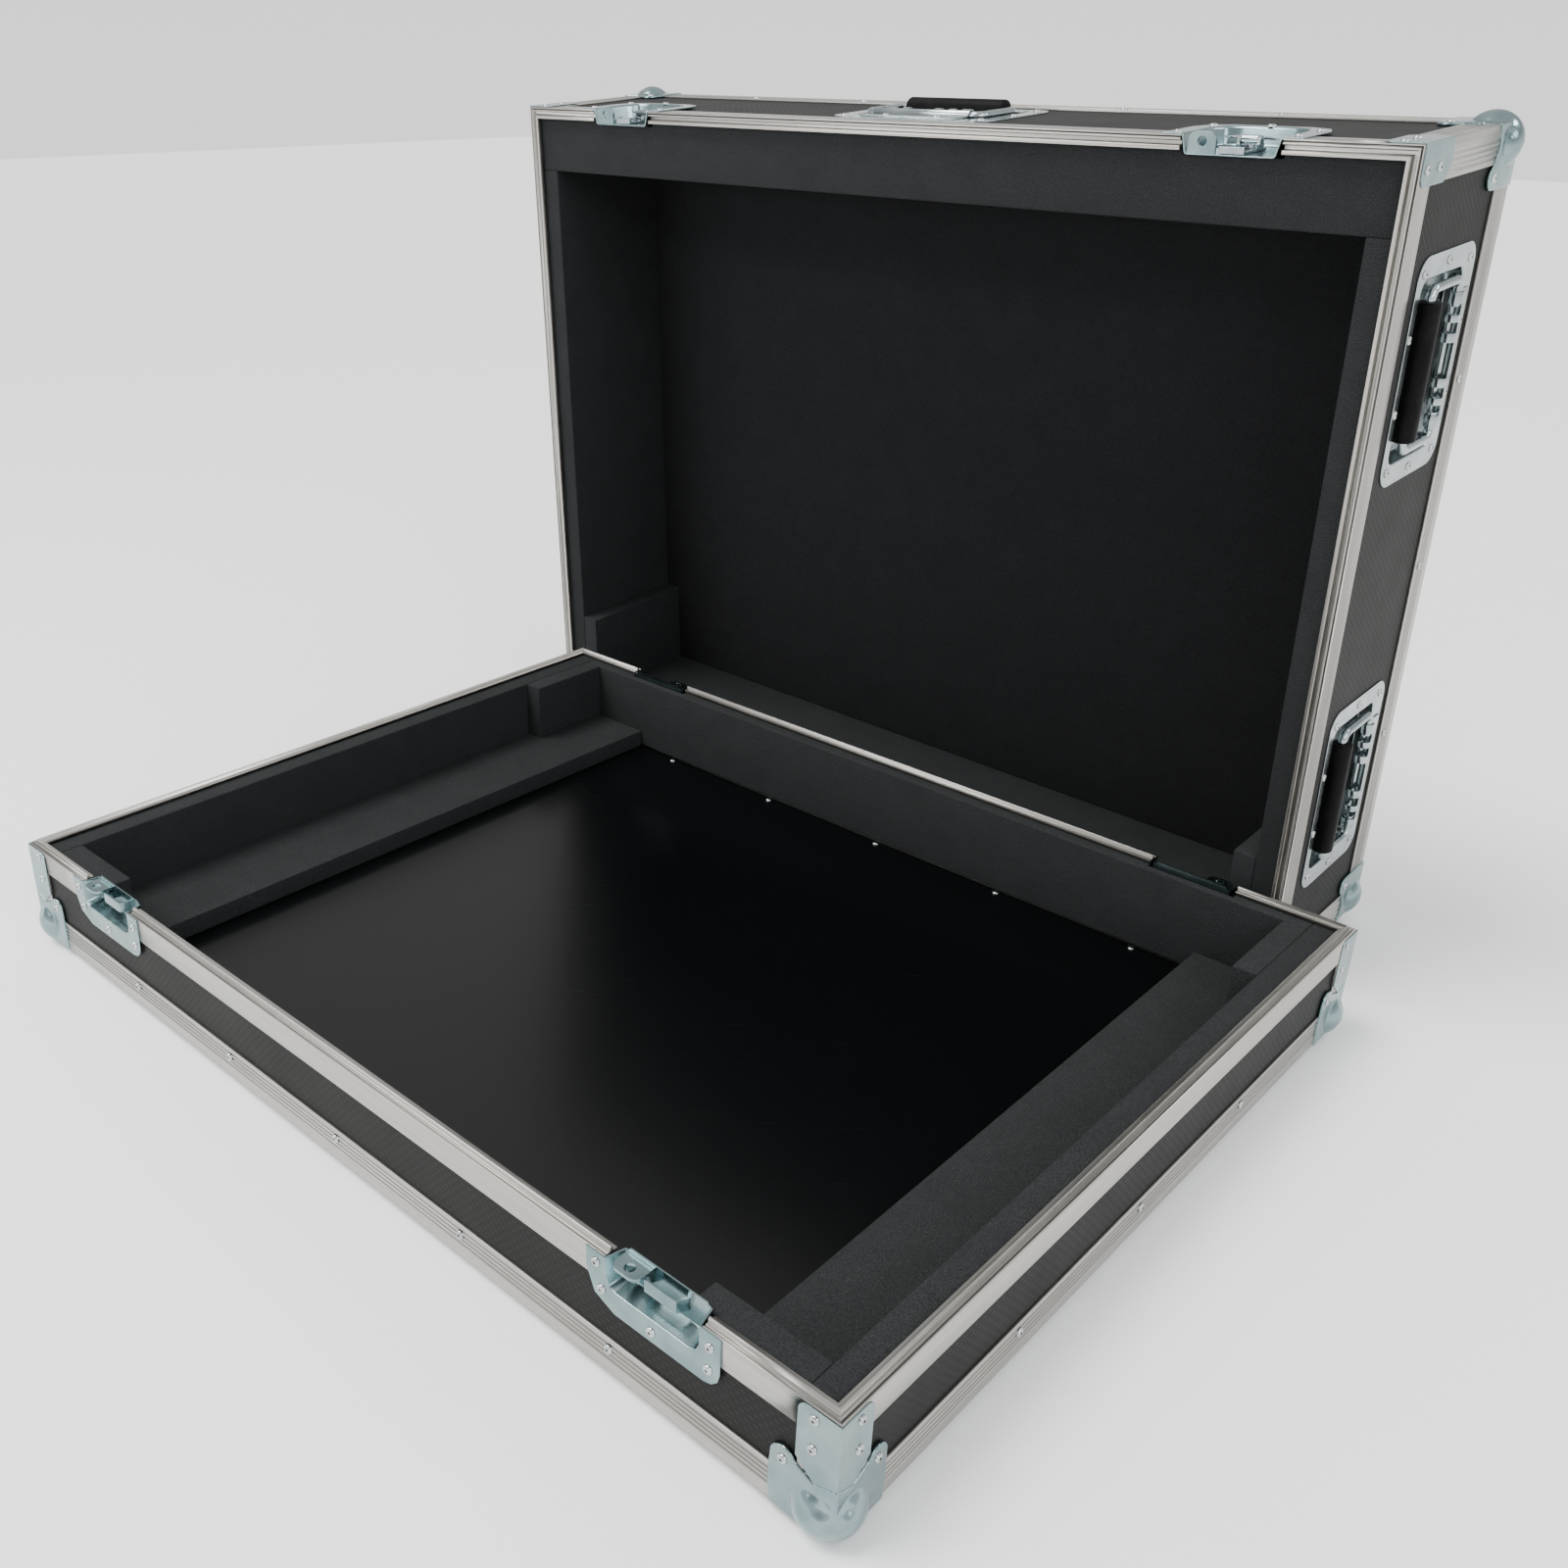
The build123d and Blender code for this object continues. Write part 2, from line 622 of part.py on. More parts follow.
lid_deep = lid_h - chan - foam_lid_top
lid_in = lid_h - inner
fy = -half_d + inner
lid_drop = groove_web
lid_front = box(-sx1, sx1, fy, fy + foam_lid_front, lid_drop, lid_in)
lid_back = box(-sx0, sx0, by0, by1, lid_drop, lid_in)
lid_sides = both(sx0, sx1, fy + foam_lid_front, by1, lid_drop, lid_in)
lid["lid_foam_front"] = dish_pockets(pan_pockets(lid_front, 0, 1, pan_lid_h), handle_frames)
lid["lid_foam_back"] = pan_pockets(lid_back, 0, 1, pan_lid_h)
lid["lid_foam_sides"] = group([dish_pockets(f, handle_frames) for f in lid_sides.solids()])
lid["lid_foam_blocks"] = both(sx0 - block_t, sx0, by0 - block_l, by0, lid_drop, lid_deep)
lid["lid_foam_top"] = box(-sx0, sx0, fy + foam_lid_front, by0, lid_deep, lid_in)

lid_frames = [wall(s, x, 0) for s in ("front", "back") for x in (-latch_x, latch_x)]
lid_dish = latch_dish(pan_lid_h, 1, latch_lid_h)
lid_tab = padlock_tab(1)
lid["lid_latch_dishes"] = group([fr * lid_dish for fr in lid_frames])
lid["lid_latch_tabs"] = group([fr * lid_tab for fr in lid_frames])
rotor, pin_n = latch_rotor()
wing = latch_wing(pin_n)
hook = latch_hook()
latch_names = ("front_left", "front_right", "back_left", "back_right")
for name, fr in zip(latch_names, lid_frames):
    lid["latch_rotor_" + name] = fr * rotor
    lid["latch_wing_" + name] = fr * wing
    lid["latch_hook_" + name] = fr * hook

lid["lid_handle_dishes"] = group([fr * handle_dish() for fr in handle_frames])
lift = Pos(0, 0, bail_out)
lid["lid_handle_hinges"] = group([fr * (lift * handle_hinge()) for fr in handle_frames])
bail = lift * handle_bail()
grip = lift * handle_grip()
names = ("front", "left_rear", "left_fore", "right_fore", "right_rear")
for name, fr in zip(names, handle_frames):
    lid["handle_bail_" + name] = fr * bail
    lid["handle_grip_" + name] = fr * grip


# Rivets


def latch_rivets(frames, h, side):
    """Five rivets round each latch flange."""
    out = []
    w = latch_w / 2
    spots = [(-w + 9, 9), (-w + 14 if side < 0 else -w + 13, h - 14), (0, h - 8 if side < 0 else h - 4.6),
             (w - 9, 12), (w - 10, h - 12 if side < 0 else h - 22)]
    for fr in frames:
        out += [rivet(fr, u, side * v, latch_t) for u, v in spots]
    return out


def corner_rivets(z, flip):
    """Rivets on ball corners and, where flip is set, on the braces of one half."""
    out = []
    up = -1 if flip else 1
    for sx in (1, -1):
        for sy, side in ((1, "back"), (-1, "front")):
            fr = wall(side, 0, z)
            u = (half_w - lobe_u) * sx * (1 if side == "front" else -1)
            out.append(rivet(fr, u, up * lobe_v, flange_t))
        for sy in (1, -1):
            side = "right" if sx > 0 else "left"
            fr = wall(side, 0, z)
            out.append(rivet(fr, (half_d - lobe_u) * sy, up * lobe_v, flange_t))
    return out


def brace_rivets(z, up):
    """Two rivets on each leg of each brace."""
    out = []
    mid = brace_w * 0.6
    for side, half in (("front", half_w), ("back", half_w), ("left", half_d), ("right", half_d)):
        fr = wall(side, 0, z)
        for s in (1, -1):
            for v in (brace_rivet_v, brace_rivet_v + 24.0):
                out.append(rivet(fr, s * (half - mid), up * v, flange_t))
    return out


def edge_rivets(z, up):
    """Rivets along the edge extrusions of one half."""
    out = []
    for side in ("front", "back", "left", "right"):
        fr = wall(side, 0, z)
        pitch, count = (rivet_pitch_x, 5) if side in ("front", "back") else (rivet_pitch_y, 3)
        for i in range(count):
            out.append(rivet(fr, (i - (count - 1) / 2) * pitch, up * rivet_edge, 0))
    return out


base_rivets = latch_rivets(base_frames, latch_base_h, -1) + corner_rivets(floor_z, False)
base_rivets += brace_rivets(rim_z, -1) + edge_rivets(floor_z, 1)
deck = Plane(origin=(0, 0, floor_top))
for i in range(5):
    base_rivets.append(rivet(deck, (i - 2) * rivet_pitch_x, by0 - rivet_r - 1, 0))
nodes["base_rivets"] = group(base_rivets)

lid_rivets = latch_rivets(lid_frames, latch_lid_h, 1) + corner_rivets(lid_h, True)
lid_rivets += brace_rivets(0, 1) + edge_rivets(lid_h, -1)
for fr in handle_frames:
    n = -ext_t + handle_t
    for u in (-80, 80):
        for v in (-48, 0, 48):
            lid_rivets.append(rivet(fr, u * (1 if v else 1.06), v, n))
    for u in (-30, 30):
        lid_rivets.append(rivet(fr, u, -54.5, n))
        lid_rivets.append(rivet(fr, u, 47.5, n + knuckle_t))
lid["lid_rivets"] = group(lid_rivets)

# Stand the lid behind the base: lowest on its padlock tabs or brace rivets, a hair above the floor
lean = math.radians(lid_lean)
on_rivets = (flange_t + rivet_h) * math.cos(lean) - (brace_rivet_v - rivet_r) * math.sin(lean)
on_tabs = tab_out * math.cos(lean) - tab_seam * math.sin(lean)
stand = max(on_rivets, on_tabs) + play
pose = Pos(lid_gap_x, half_d + lid_gap_y, stand) * Rot(0, 0, lid_yaw) * Rot(-(90 - lid_lean), 0, 0)
pose = pose * Pos(0, -half_d, 0)
for name, shape in lid.items():
    nodes[name] = group([pose * solid for solid in shape.solids()])

os.makedirs("parts", exist_ok=True)
for name, shape in nodes.items():
    export_step(shape, "parts/" + name + ".step")
print(len(nodes), "nodes")
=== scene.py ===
"""Looks of a mixer flight case: laminated panels, aluminium edging, pressed zinc corners, latches and foam."""

import json
import logging
import math
from dataclasses import dataclass, field
from enum import Enum
from typing import Dict, List, Optional, Sequence, Tuple, Union

import bmesh
import bpy
from mathutils import Matrix, Vector

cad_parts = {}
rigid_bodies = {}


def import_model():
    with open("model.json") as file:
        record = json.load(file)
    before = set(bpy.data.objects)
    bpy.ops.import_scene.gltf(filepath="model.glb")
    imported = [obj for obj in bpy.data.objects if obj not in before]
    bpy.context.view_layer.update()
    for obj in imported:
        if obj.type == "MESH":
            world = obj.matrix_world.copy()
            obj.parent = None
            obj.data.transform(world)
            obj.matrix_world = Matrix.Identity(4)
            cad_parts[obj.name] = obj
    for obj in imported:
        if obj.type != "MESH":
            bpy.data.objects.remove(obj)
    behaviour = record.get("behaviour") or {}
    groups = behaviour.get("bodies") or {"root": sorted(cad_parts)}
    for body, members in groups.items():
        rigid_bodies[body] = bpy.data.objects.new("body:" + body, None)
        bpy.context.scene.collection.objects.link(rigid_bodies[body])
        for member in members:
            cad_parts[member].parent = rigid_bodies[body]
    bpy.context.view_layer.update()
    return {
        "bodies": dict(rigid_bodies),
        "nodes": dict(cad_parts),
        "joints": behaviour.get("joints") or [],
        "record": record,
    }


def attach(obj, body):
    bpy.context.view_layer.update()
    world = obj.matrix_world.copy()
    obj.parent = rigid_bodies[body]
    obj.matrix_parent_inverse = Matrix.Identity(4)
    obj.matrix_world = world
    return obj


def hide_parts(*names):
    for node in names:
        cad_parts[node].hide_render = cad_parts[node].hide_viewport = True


LOG = logging.getLogger("flight_case")
MM = 0.001
WELD = 2e-6
LEVEL = math.radians(0.6)
FOLD_MOST = 1.48
LATCHES = ("front_left", "front_right", "back_left", "back_right")
HANDLES = ("front", "left_rear", "left_fore", "right_fore", "right_rear")
Colour = Tuple[float, float, float]
Number = Union[int, float]


class Half(Enum):
    """The two halves of the case; the value is the CAD body's name."""

    BASE = "base"
    LID = "lid"


class Side(Enum):
    """The four upright walls of a half."""

    FRONT = "front"
    BACK = "back"
    LEFT = "left"
    RIGHT = "right"


class Run(Enum):
    """Which way the lines of a drawn or printed surface run."""

    RING = "ring"
    UP = "up"


@dataclass(frozen=True)
class CaseFrame:
    """Sizes that place pieces on the case, in millimetres."""

    width: float = 1000.0
    depth: float = 756.0
    base_height: float = 100.0
    lid_height: float = 200.0
    floor_z: float = 8.7
    lid_shift: Tuple[float, float, float] = (-72.0, 409.5, 3.2705932)
    lid_lean: float = 3.44
    lid_yaw: float = -1.1
    latch_pitch: float = 700.0
    handle_v: float = 100.0
    handle_pitch: float = 396.0

    @property
    def rim_z(self) -> float:
        """Height of the base's rim over the floor."""
        return self.floor_z + self.base_height

    def lid_pose(self) -> Matrix:
        """Where the closed lid's own frame stands in the scene, still in millimetres."""
        turn = Matrix.Rotation(math.radians(self.lid_yaw), 4, "Z")
        tip = Matrix.Rotation(math.radians(self.lid_lean - 90.0), 4, "X")
        return Matrix.Translation(self.lid_shift) @ turn @ tip @ Matrix.Translation((0, -self.depth / 2, 0))

    def half(self, half: Half) -> Matrix:
        """The frame of one half: the scene's own for the base, the leaning frame for the lid."""
        return Matrix.Identity(4) if half is Half.BASE else self.lid_pose()

    def wall(self, half: Half, side: Side, along: float, z: float) -> Matrix:
        """A frame on a wall's outer face.

        Args:
            half: Which half of the case.
            side: Which wall.
            along: Place along the wall from its middle.
            z: Height in that half's own frame.

        Returns:
            X to the viewer's right, Y up the wall and Z out of the case, in millimetres.
        """
        w, d = self.width / 2, self.depth / 2
        spots = {
            Side.FRONT: ((along, -d, z), (1, 0, 0), (0, -1, 0)),
            Side.BACK: ((along, d, z), (-1, 0, 0), (0, 1, 0)),
            Side.RIGHT: ((w, along, z), (0, 1, 0), (1, 0, 0)),
            Side.LEFT: ((-w, along, z), (0, -1, 0), (-1, 0, 0)),
        }
        origin, x_dir, z_dir = (Vector(v) for v in spots[side])
        y_dir = z_dir.cross(x_dir)
        frame = Matrix((x_dir, y_dir, z_dir)).transposed().to_4x4()
        return self.half(half) @ Matrix.Translation(origin) @ frame

    def handles(self) -> List[Matrix]:
        """Frames of the five handles, in millimetres: X along the grip, Y to the hinge and Z out of the case."""
        front = Matrix(((-1, 0, 0), (0, 0, -1), (0, -1, 0))).to_4x4()
        frames = [self.lid_pose() @ Matrix.Translation((0, -self.depth / 2, self.handle_v)) @ front]
        for side in (Side.LEFT, Side.RIGHT):
            frames += [self.wall(Half.LID, side, s * self.handle_pitch / 2, self.handle_v) for s in (-1, 1)]
        return frames


CASE = CaseFrame()


class Wire:
    """A number running through a material's nodes, with arithmetic that adds Math nodes."""

    def __init__(self, board: "Board", socket: bpy.types.NodeSocket) -> None:
        """Wraps an output socket of a board."""
        self.board = board
        self.socket = socket

    def _math(self, operation: str, first: Union["Wire", Number], second: Union["Wire", Number]) -> "Wire":
        """One Math node of two operands."""
        return self.board.node("ShaderNodeMath", {"operation": operation}, {0: first, 1: second})

    def __add__(self, other: Union["Wire", Number]) -> "Wire":
        """Sum."""
        return self._math("ADD", self, other)

    __radd__ = __add__

    def __mul__(self, other: Union["Wire", Number]) -> "Wire":
        """Product."""
        return self._math("MULTIPLY", self, other)

    __rmul__ = __mul__

    def __sub__(self, other: Union["Wire", Number]) -> "Wire":
        """Difference."""
        return self._math("SUBTRACT", self, other)

    def __rsub__(self, other: Union["Wire", Number]) -> "Wire":
        """Difference with this wire taken away."""
        return self._math("SUBTRACT", other, self)

    def __truediv__(self, other: Union["Wire", Number]) -> "Wire":
        """Quotient."""
        return self._math("DIVIDE", self, other)

    def __lt__(self, other: Union["Wire", Number]) -> "Wire":
        """1 where this is less."""
        return self._math("LESS_THAN", self, other)

    def __gt__(self, other: Union["Wire", Number]) -> "Wire":
        """1 where this is more."""
        return self._math("GREATER_THAN", self, other)

    def __abs__(self) -> "Wire":
        """Size without sign."""
        return self._math("ABSOLUTE", self, 0.0)

    def repeat(self) -> "Wire":
        """Part after the decimal point."""
        return self._math("FRACT", self, 0.0)

    def whole(self) -> "Wire":
        """Largest whole number not above this."""
        return self._math("FLOOR", self, 0.0)

    def least(self, other: Union["Wire", Number]) -> "Wire":
        """The smaller of the two."""
        return self._math("MINIMUM", self, other)

    def most(self, other: Union["Wire", Number]) -> "Wire":
        """The larger of the two."""
        return self._math("MAXIMUM", self, other)

    def ease(self, low: float, high: float, start: float = 0.0, end: float = 1.0) -> "Wire":
        """This number mapped smoothly from low..high to start..end."""
        return self.board.node("ShaderNodeMapRange", {"interpolation_type": "SMOOTHSTEP"},
                               {0: self, 1: low, 2: high, 3: start, 4: end})


Feed = Union[Wire, Number, Sequence[float]]


class Board:
    """The node board of one material."""

    def __init__(self, name: str) -> None:
        """Starts a material with an empty board, a Principled shader and its output."""
        self.material = bpy.data.materials.new(name)
        self.material.use_nodes = True
        self.tree = self.material.node_tree
        self.tree.nodes.clear()
        self.shader = self.tree.nodes.new("ShaderNodeBsdfPrincipled")
        output = self.tree.nodes.new("ShaderNodeOutputMaterial")
        self.tree.links.new(self.shader.outputs[0], output.inputs[0])

    def node(self, kind: str, settings: Optional[dict] = None, feeds: Optional[Dict[Union[int, str], Feed]] = None,
             out: Union[int, str] = 0) -> Wire:
        """Adds any node.

        Args:
            kind: The node's type.
            settings: Its settings.
            feeds: Values or wires for its sockets.
            out: Which output comes back.

        Returns:
            The chosen output as a wire.
        """
        made = self.tree.nodes.new(kind)
        for key, value in (settings or {}).items():
            setattr(made, key, value)
        for key, value in (feeds or {}).items():
            socket = made.inputs[key]
            if isinstance(value, Wire):
                self.tree.links.new(value.socket, socket)
            else:
                socket.default_value = value
        return Wire(self, made.outputs[out])

    def place(self, frame: Matrix) -> Wire:
        """Object coordinates read in a half's own frame, in metres."""
        shift, turn, _ = frame.decompose()
        where = self.node("ShaderNodeTexCoord", out="Object")
        return self.node("ShaderNodeMapping", {"vector_type": "TEXTURE"},
                         {0: where, 1: shift * MM, 2: turn.to_euler()})

    def split(self, vector: Wire) -> Tuple[Wire, Wire, Wire]:
        """The three numbers of a vector."""
        x = self.node("ShaderNodeSeparateXYZ", feeds={0: vector})
        outs = x.socket.node.outputs
        return x, Wire(self, outs[1]), Wire(self, outs[2])

    def join(self, x: Feed, y: Feed, z: Feed) -> Wire:
        """A vector from three numbers."""
        return self.node("ShaderNodeCombineXYZ", feeds={0: x, 1: y, 2: z})

    def noise(self, vector: Wire, scale: float, detail: float = 2.0, rough: float = 0.5) -> Wire:
        """Cloudy noise between 0 and 1."""
        return self.node("ShaderNodeTexNoise", {}, {"Vector": vector, "Scale": scale, "Detail": detail,
                                                    "Roughness": rough})

    def cells(self, vector: Wire, scale: float) -> Wire:
        """Distance to the nearest cell point."""
        return self.node("ShaderNodeTexVoronoi", {}, {"Vector": vector, "Scale": scale})

    def tint(self, mask: Wire, low: Union[Wire, Colour], high: Colour) -> Wire:
        """Two colours mixed by a mask; the lower one may be a mix itself."""
        first = low if isinstance(low, Wire) else (*low, 1.0)
        return self.node("ShaderNodeMix", {"data_type": "RGBA"}, {0: mask, 6: first, 7: (*high, 1.0)}, 2)

    def bump(self, height: Wire, depth: float) -> Wire:
        """A bump of a real depth in metres."""
        return self.node("ShaderNodeBump", {}, {"Strength": 1.0, "Distance": depth, "Height": height})

    def dress(self, **feeds: Feed) -> bpy.types.Material:
        """Sets the shader's sockets, named with underscores, and returns the material."""
        for key, value in feeds.items():
            socket = self.shader.inputs[key.replace("_", " ").title().replace("Ior", "IOR")]
            if isinstance(value, Wire):
                self.tree.links.new(value.socket, socket)
            else:
                socket.default_value = value
        return self.material


def ring_mask(x: Wire, y: Wire) -> Wire:
    """1 on bars that run front to back and 0 on bars that run across, changing at the mitres."""
    from_side = CASE.width / 2 * MM - abs(x)
    from_front = CASE.depth / 2 * MM - abs(y)
    return from_side < from_front


@dataclass(frozen=True)
class Aluminium:
    """Mill finished aluminium extrusion with fine lengthwise drawing lines and painted shade in its grooves.

    The grooves' sizes are in millimetres, measured from the case's edge, and the noise scales are per metre.
    """

    name: str
    run: Run
    light: Colour = (0.50, 0.485, 0.455)
    dark: Colour = (0.30, 0.29, 0.268)
    # Painted shade in the grooves: its near-black colour and how strongly it is mixed in.
    groove_shade_colour: Colour = (0.085, 0.082, 0.076)
    groove_shade: float = 0.65
    rough: float = 0.32
    line_depth: float = 0.00004
    fine: float = 1600.0
    slow: float = 6.0
    groove_from: float = 9.92
    groove_pitch: float = 4.2
    groove_wide: float = 3.2
    groove_last: float = 3.9
    rim_line: Tuple[float, float] = (1.25, 2.75)
    rim_near: float = 2.2

    def grooves(self, half: Half, x: Wire, y: Wire, z: Wire) -> Wire:
        """1 in the four grooves of each edge leg and in the rim's fine one, where painted shade darkens the metal.
        """
        low = z - CASE.floor_z * MM if half is Half.BASE else CASE.lid_height * MM - z
        side = (CASE.width / 2 * MM - abs(x)).least(CASE.depth / 2 * MM - abs(y))
        steps = (low.most(side) / MM - self.groove_from) / self.groove_pitch
        wide = self.groove_wide / self.groove_pitch
        inside = steps.repeat().ease(0.02, 0.16) * (1.0 - steps.repeat().ease(wide - 0.14, wide))
        rim = abs(z - (CASE.rim_z * MM if half is Half.BASE else 0.0)) < self.rim_near * MM
        line = (side > self.rim_line[0] * MM) * (side < self.rim_line[1] * MM)
        return (inside * (steps > 0.0) * (steps < self.groove_last)).most(rim * line)

    def make(self, half: Half) -> bpy.types.Material:
        """The material on one half of the case."""
        b = Board(f"{self.name}_{half.value}")
        x, y, z = b.split(b.place(CASE.half(half)))
        fine, slow = self.fine, self.slow
        if self.run is Run.UP:
            lines = b.noise(b.join(x * fine, y * fine, z * slow), 1.0, 3.0, 0.7)
        else:
            across = b.noise(b.join(x * slow, y * fine, z * fine), 1.0, 3.0, 0.7)
            deep = b.noise(b.join(x * fine, y * slow, z * fine), 1.0, 3.0, 0.7)
            mask = ring_mask(x, y)
            lines = across * (1.0 - mask) + deep * mask
        cloud = b.noise(b.join(x, y, z), 28.0, 4.0, 0.6)
        worn = b.noise(b.join(x, y, z), 420.0, 2.0, 0.6).ease(0.60, 0.74)
        # Painted shade: the grooves and the rim's fine line are darkened towards the groove shade colour.
        groove_shade = self.grooves(half, x, y, z) * self.groove_shade
        shade = lines.ease(0.30, 0.72) * 0.7 + cloud * 0.3 - worn * 0.12
        colour = b.tint(groove_shade, b.tint(shade, self.dark, self.light), self.groove_shade_colour)
        return b.dress(base_color=colour, metallic=1.0, roughness=self.rough - 0.06 + cloud * 0.16 + worn * 0.08,
                       normal=b.bump(lines, self.line_depth))


@dataclass(frozen=True)
class ZincPlate:
    """Zinc plated pressed steel with a cool blue passivation and cloudy gloss."""

    name: str
    light: Colour = (0.27, 0.36, 0.37)
    dark: Colour = (0.13, 0.20, 0.21)
    warm: Colour = (0.30, 0.33, 0.32)
    rough: float = 0.16
    grain_depth: float = 0.000006

    def make(self, half: Half) -> bpy.types.Material:
        """The material on one half of the case."""
        b = Board(f"{self.name}_{half.value}")
        where = b.place(CASE.half(half))
        cloud = b.noise(where, 34.0, 3.0, 0.55)
        patch = b.noise(where, 14.0, 2.0, 0.5).ease(0.45, 0.70)
        grain = b.noise(where, 1900.0, 2.0, 0.7)
        scratch = b.noise(where, 110.0, 3.0, 0.6).ease(0.60, 0.74)
        colour = b.tint(patch * 0.35, b.tint(cloud.ease(0.15, 0.85), self.dark, self.light), self.warm)
        rough = self.rough + cloud * 0.10 + scratch * 0.06
        return b.dress(base_color=colour, metallic=1.0, roughness=rough, normal=b.bump(grain, self.grain_depth))


@dataclass(frozen=True)
class Laminate:
    """Dark phenolic faced plywood with a moulded anti-slip dash pattern, its steps in metres."""

    name: str
    ground: Colour = (0.0034, 0.0038, 0.0032)
    raised: Colour = (0.0095, 0.0102, 0.0090)
    pitch: float = 0.0078
    row: float = 0.0042
    mark_depth: float = 0.00014

    def make(self, half: Half, across: str, up: str) -> bpy.types.Material:
        """The material on a panel whose face spans two named axes."""
        b = Board(f"{self.name}_{half.value}_{across}{up}")
        axes = dict(zip("xyz", b.split(b.place(CASE.half(half)))))
        u, v = axes[across], axes[up]
        slide = ((v / self.row).whole() * 0.5).repeat()
        along = abs((u / self.pitch + slide).repeat() - 0.5)
        over = abs((v / self.row).repeat() - 0.5)
        mark = (1.0 - along.ease(0.16, 0.26)) * (1.0 - over.ease(0.14, 0.30))
        fade = b.noise(b.join(u, v, 0.0), 9.0, 3.0, 0.6).ease(0.36, 0.62, 0.45, 1.0)
        grain = b.noise(b.join(*axes.values()), 1400.0, 3.0, 0.7)
        cloud = b.noise(b.join(*axes.values()), 22.0, 3.0, 0.6)
        colour = b.tint(mark * fade * 0.22 + grain * 0.35, self.ground, self.raised)
        return b.dress(base_color=colour, roughness=0.52 + cloud * 0.10 - mark * 0.06,
                       normal=b.bump(mark * 0.6 + grain * 0.3, self.mark_depth), specular_ior_level=0.13)


@dataclass(frozen=True)
class ScuffedDeck:
    """Smooth black floor panel with a soft gloss and a few long scuffs."""

    name: str
    ground: Colour = (0.0010, 0.0012, 0.0014)
    scuff: Colour = (0.012, 0.013, 0.014)
    wave_depth: float = 0.00005

    def make(self, half: Half) -> bpy.types.Material:
        """The material on one half of the case."""
        b = Board(f"{self.name}_{half.value}")
        where = b.place(CASE.half(half))
        x, y, z = b.split(where)
        swirl = b.noise(b.join(x + y * 0.6, y - x * 0.3, 0.0), 3.2, 6.0, 0.72)
        long_ = b.noise(b.join((x + y) * 2.0, (y - x) * 60.0, 0.0), 1.6, 5.0, 0.75).ease(0.60, 0.74)
        dust = b.noise(where, 900.0, 2.0, 0.8).ease(0.66, 0.76)
        mask = swirl.ease(0.52, 0.68) * long_ * 0.5 + dust * 0.18
        colour = b.tint(mask, self.ground, self.scuff)
        return b.dress(base_color=colour, roughness=0.20 + swirl * 0.10 + long_ * 0.08, specular_ior_level=0.3,
                       normal=b.bump(b.noise(where, 240.0, 3.0, 0.6), self.wave_depth))


@dataclass(frozen=True)
class CutFoam:
    """Charcoal closed-cell foam, sawn faces with fine open cells."""

    name: str
    ground: Colour = (0.0058, 0.0062, 0.0065)
    fleck: Colour = (0.041, 0.043, 0.0445)
    cell_depth: float = 0.0007

    def make(self, half: Half) -> bpy.types.Material:
        """The material on one half of the case."""
        b = Board(f"{self.name}_{half.value}")
        where = b.place(CASE.half(half))
        cells = b.cells(where, 760.0)
        fine = b.noise(where, 1150.0, 3.0, 0.8)
        slow = b.noise(where, 26.0, 4.0, 0.6)
        fleck = fine.ease(0.34, 0.80) * 0.85 + cells.ease(0.1, 0.6, 0.0, 0.15)
        colour = b.tint(fleck * slow.ease(0.25, 0.75, 0.84, 1.03), self.ground, self.fleck)
        return b.dress(base_color=colour, roughness=0.95, specular_ior_level=0.12,
                       normal=b.bump(cells * 0.6 + fine * 0.6, self.cell_depth))


@dataclass(frozen=True)
class Rubber:
    """Black moulded rubber of the handle grips."""

    name: str
    ground: Colour = (0.0016, 0.0016, 0.0018)
    bloom: Colour = (0.0060, 0.0060, 0.0066)
    grain_depth: float = 0.00006

    def make(self, half: Half) -> bpy.types.Material:
        """The material on one half of the case."""
        b = Board(f"{self.name}_{half.value}")
        where = b.place(CASE.half(half))
        cloud = b.noise(where, 60.0, 3.0, 0.6)
        grain = b.noise(where, 2200.0, 2.0, 0.6)
        colour = b.tint(cloud.ease(0.45, 0.75), self.ground, self.bloom)
        return b.dress(base_color=colour, roughness=0.42 + cloud * 0.2, specular_ior_level=0.08,
                       normal=b.bump(grain, self.grain_depth))


@dataclass(frozen=True)
class StudioFloor:
    """Pale seamless studio ground."""

    name: str = "studio_floor"
    colour: Colour = (0.86, 0.86, 0.86)
    shade: float = 0.985

    def make(self) -> bpy.types.Material:
        """The floor's material."""
        b = Board(self.name)
        where = b.node("ShaderNodeTexCoord", out="Object")
        soft = b.noise(where, 2.0, 2.0, 0.5)
        colour = b.tint(soft, tuple(c * self.shade for c in self.colour), self.colour)
        return b.dress(base_color=colour, roughness=0.9, specular_ior_level=0.1)


Finish = Union[Aluminium, ZincPlate, Laminate, ScuffedDeck, CutFoam, Rubber]


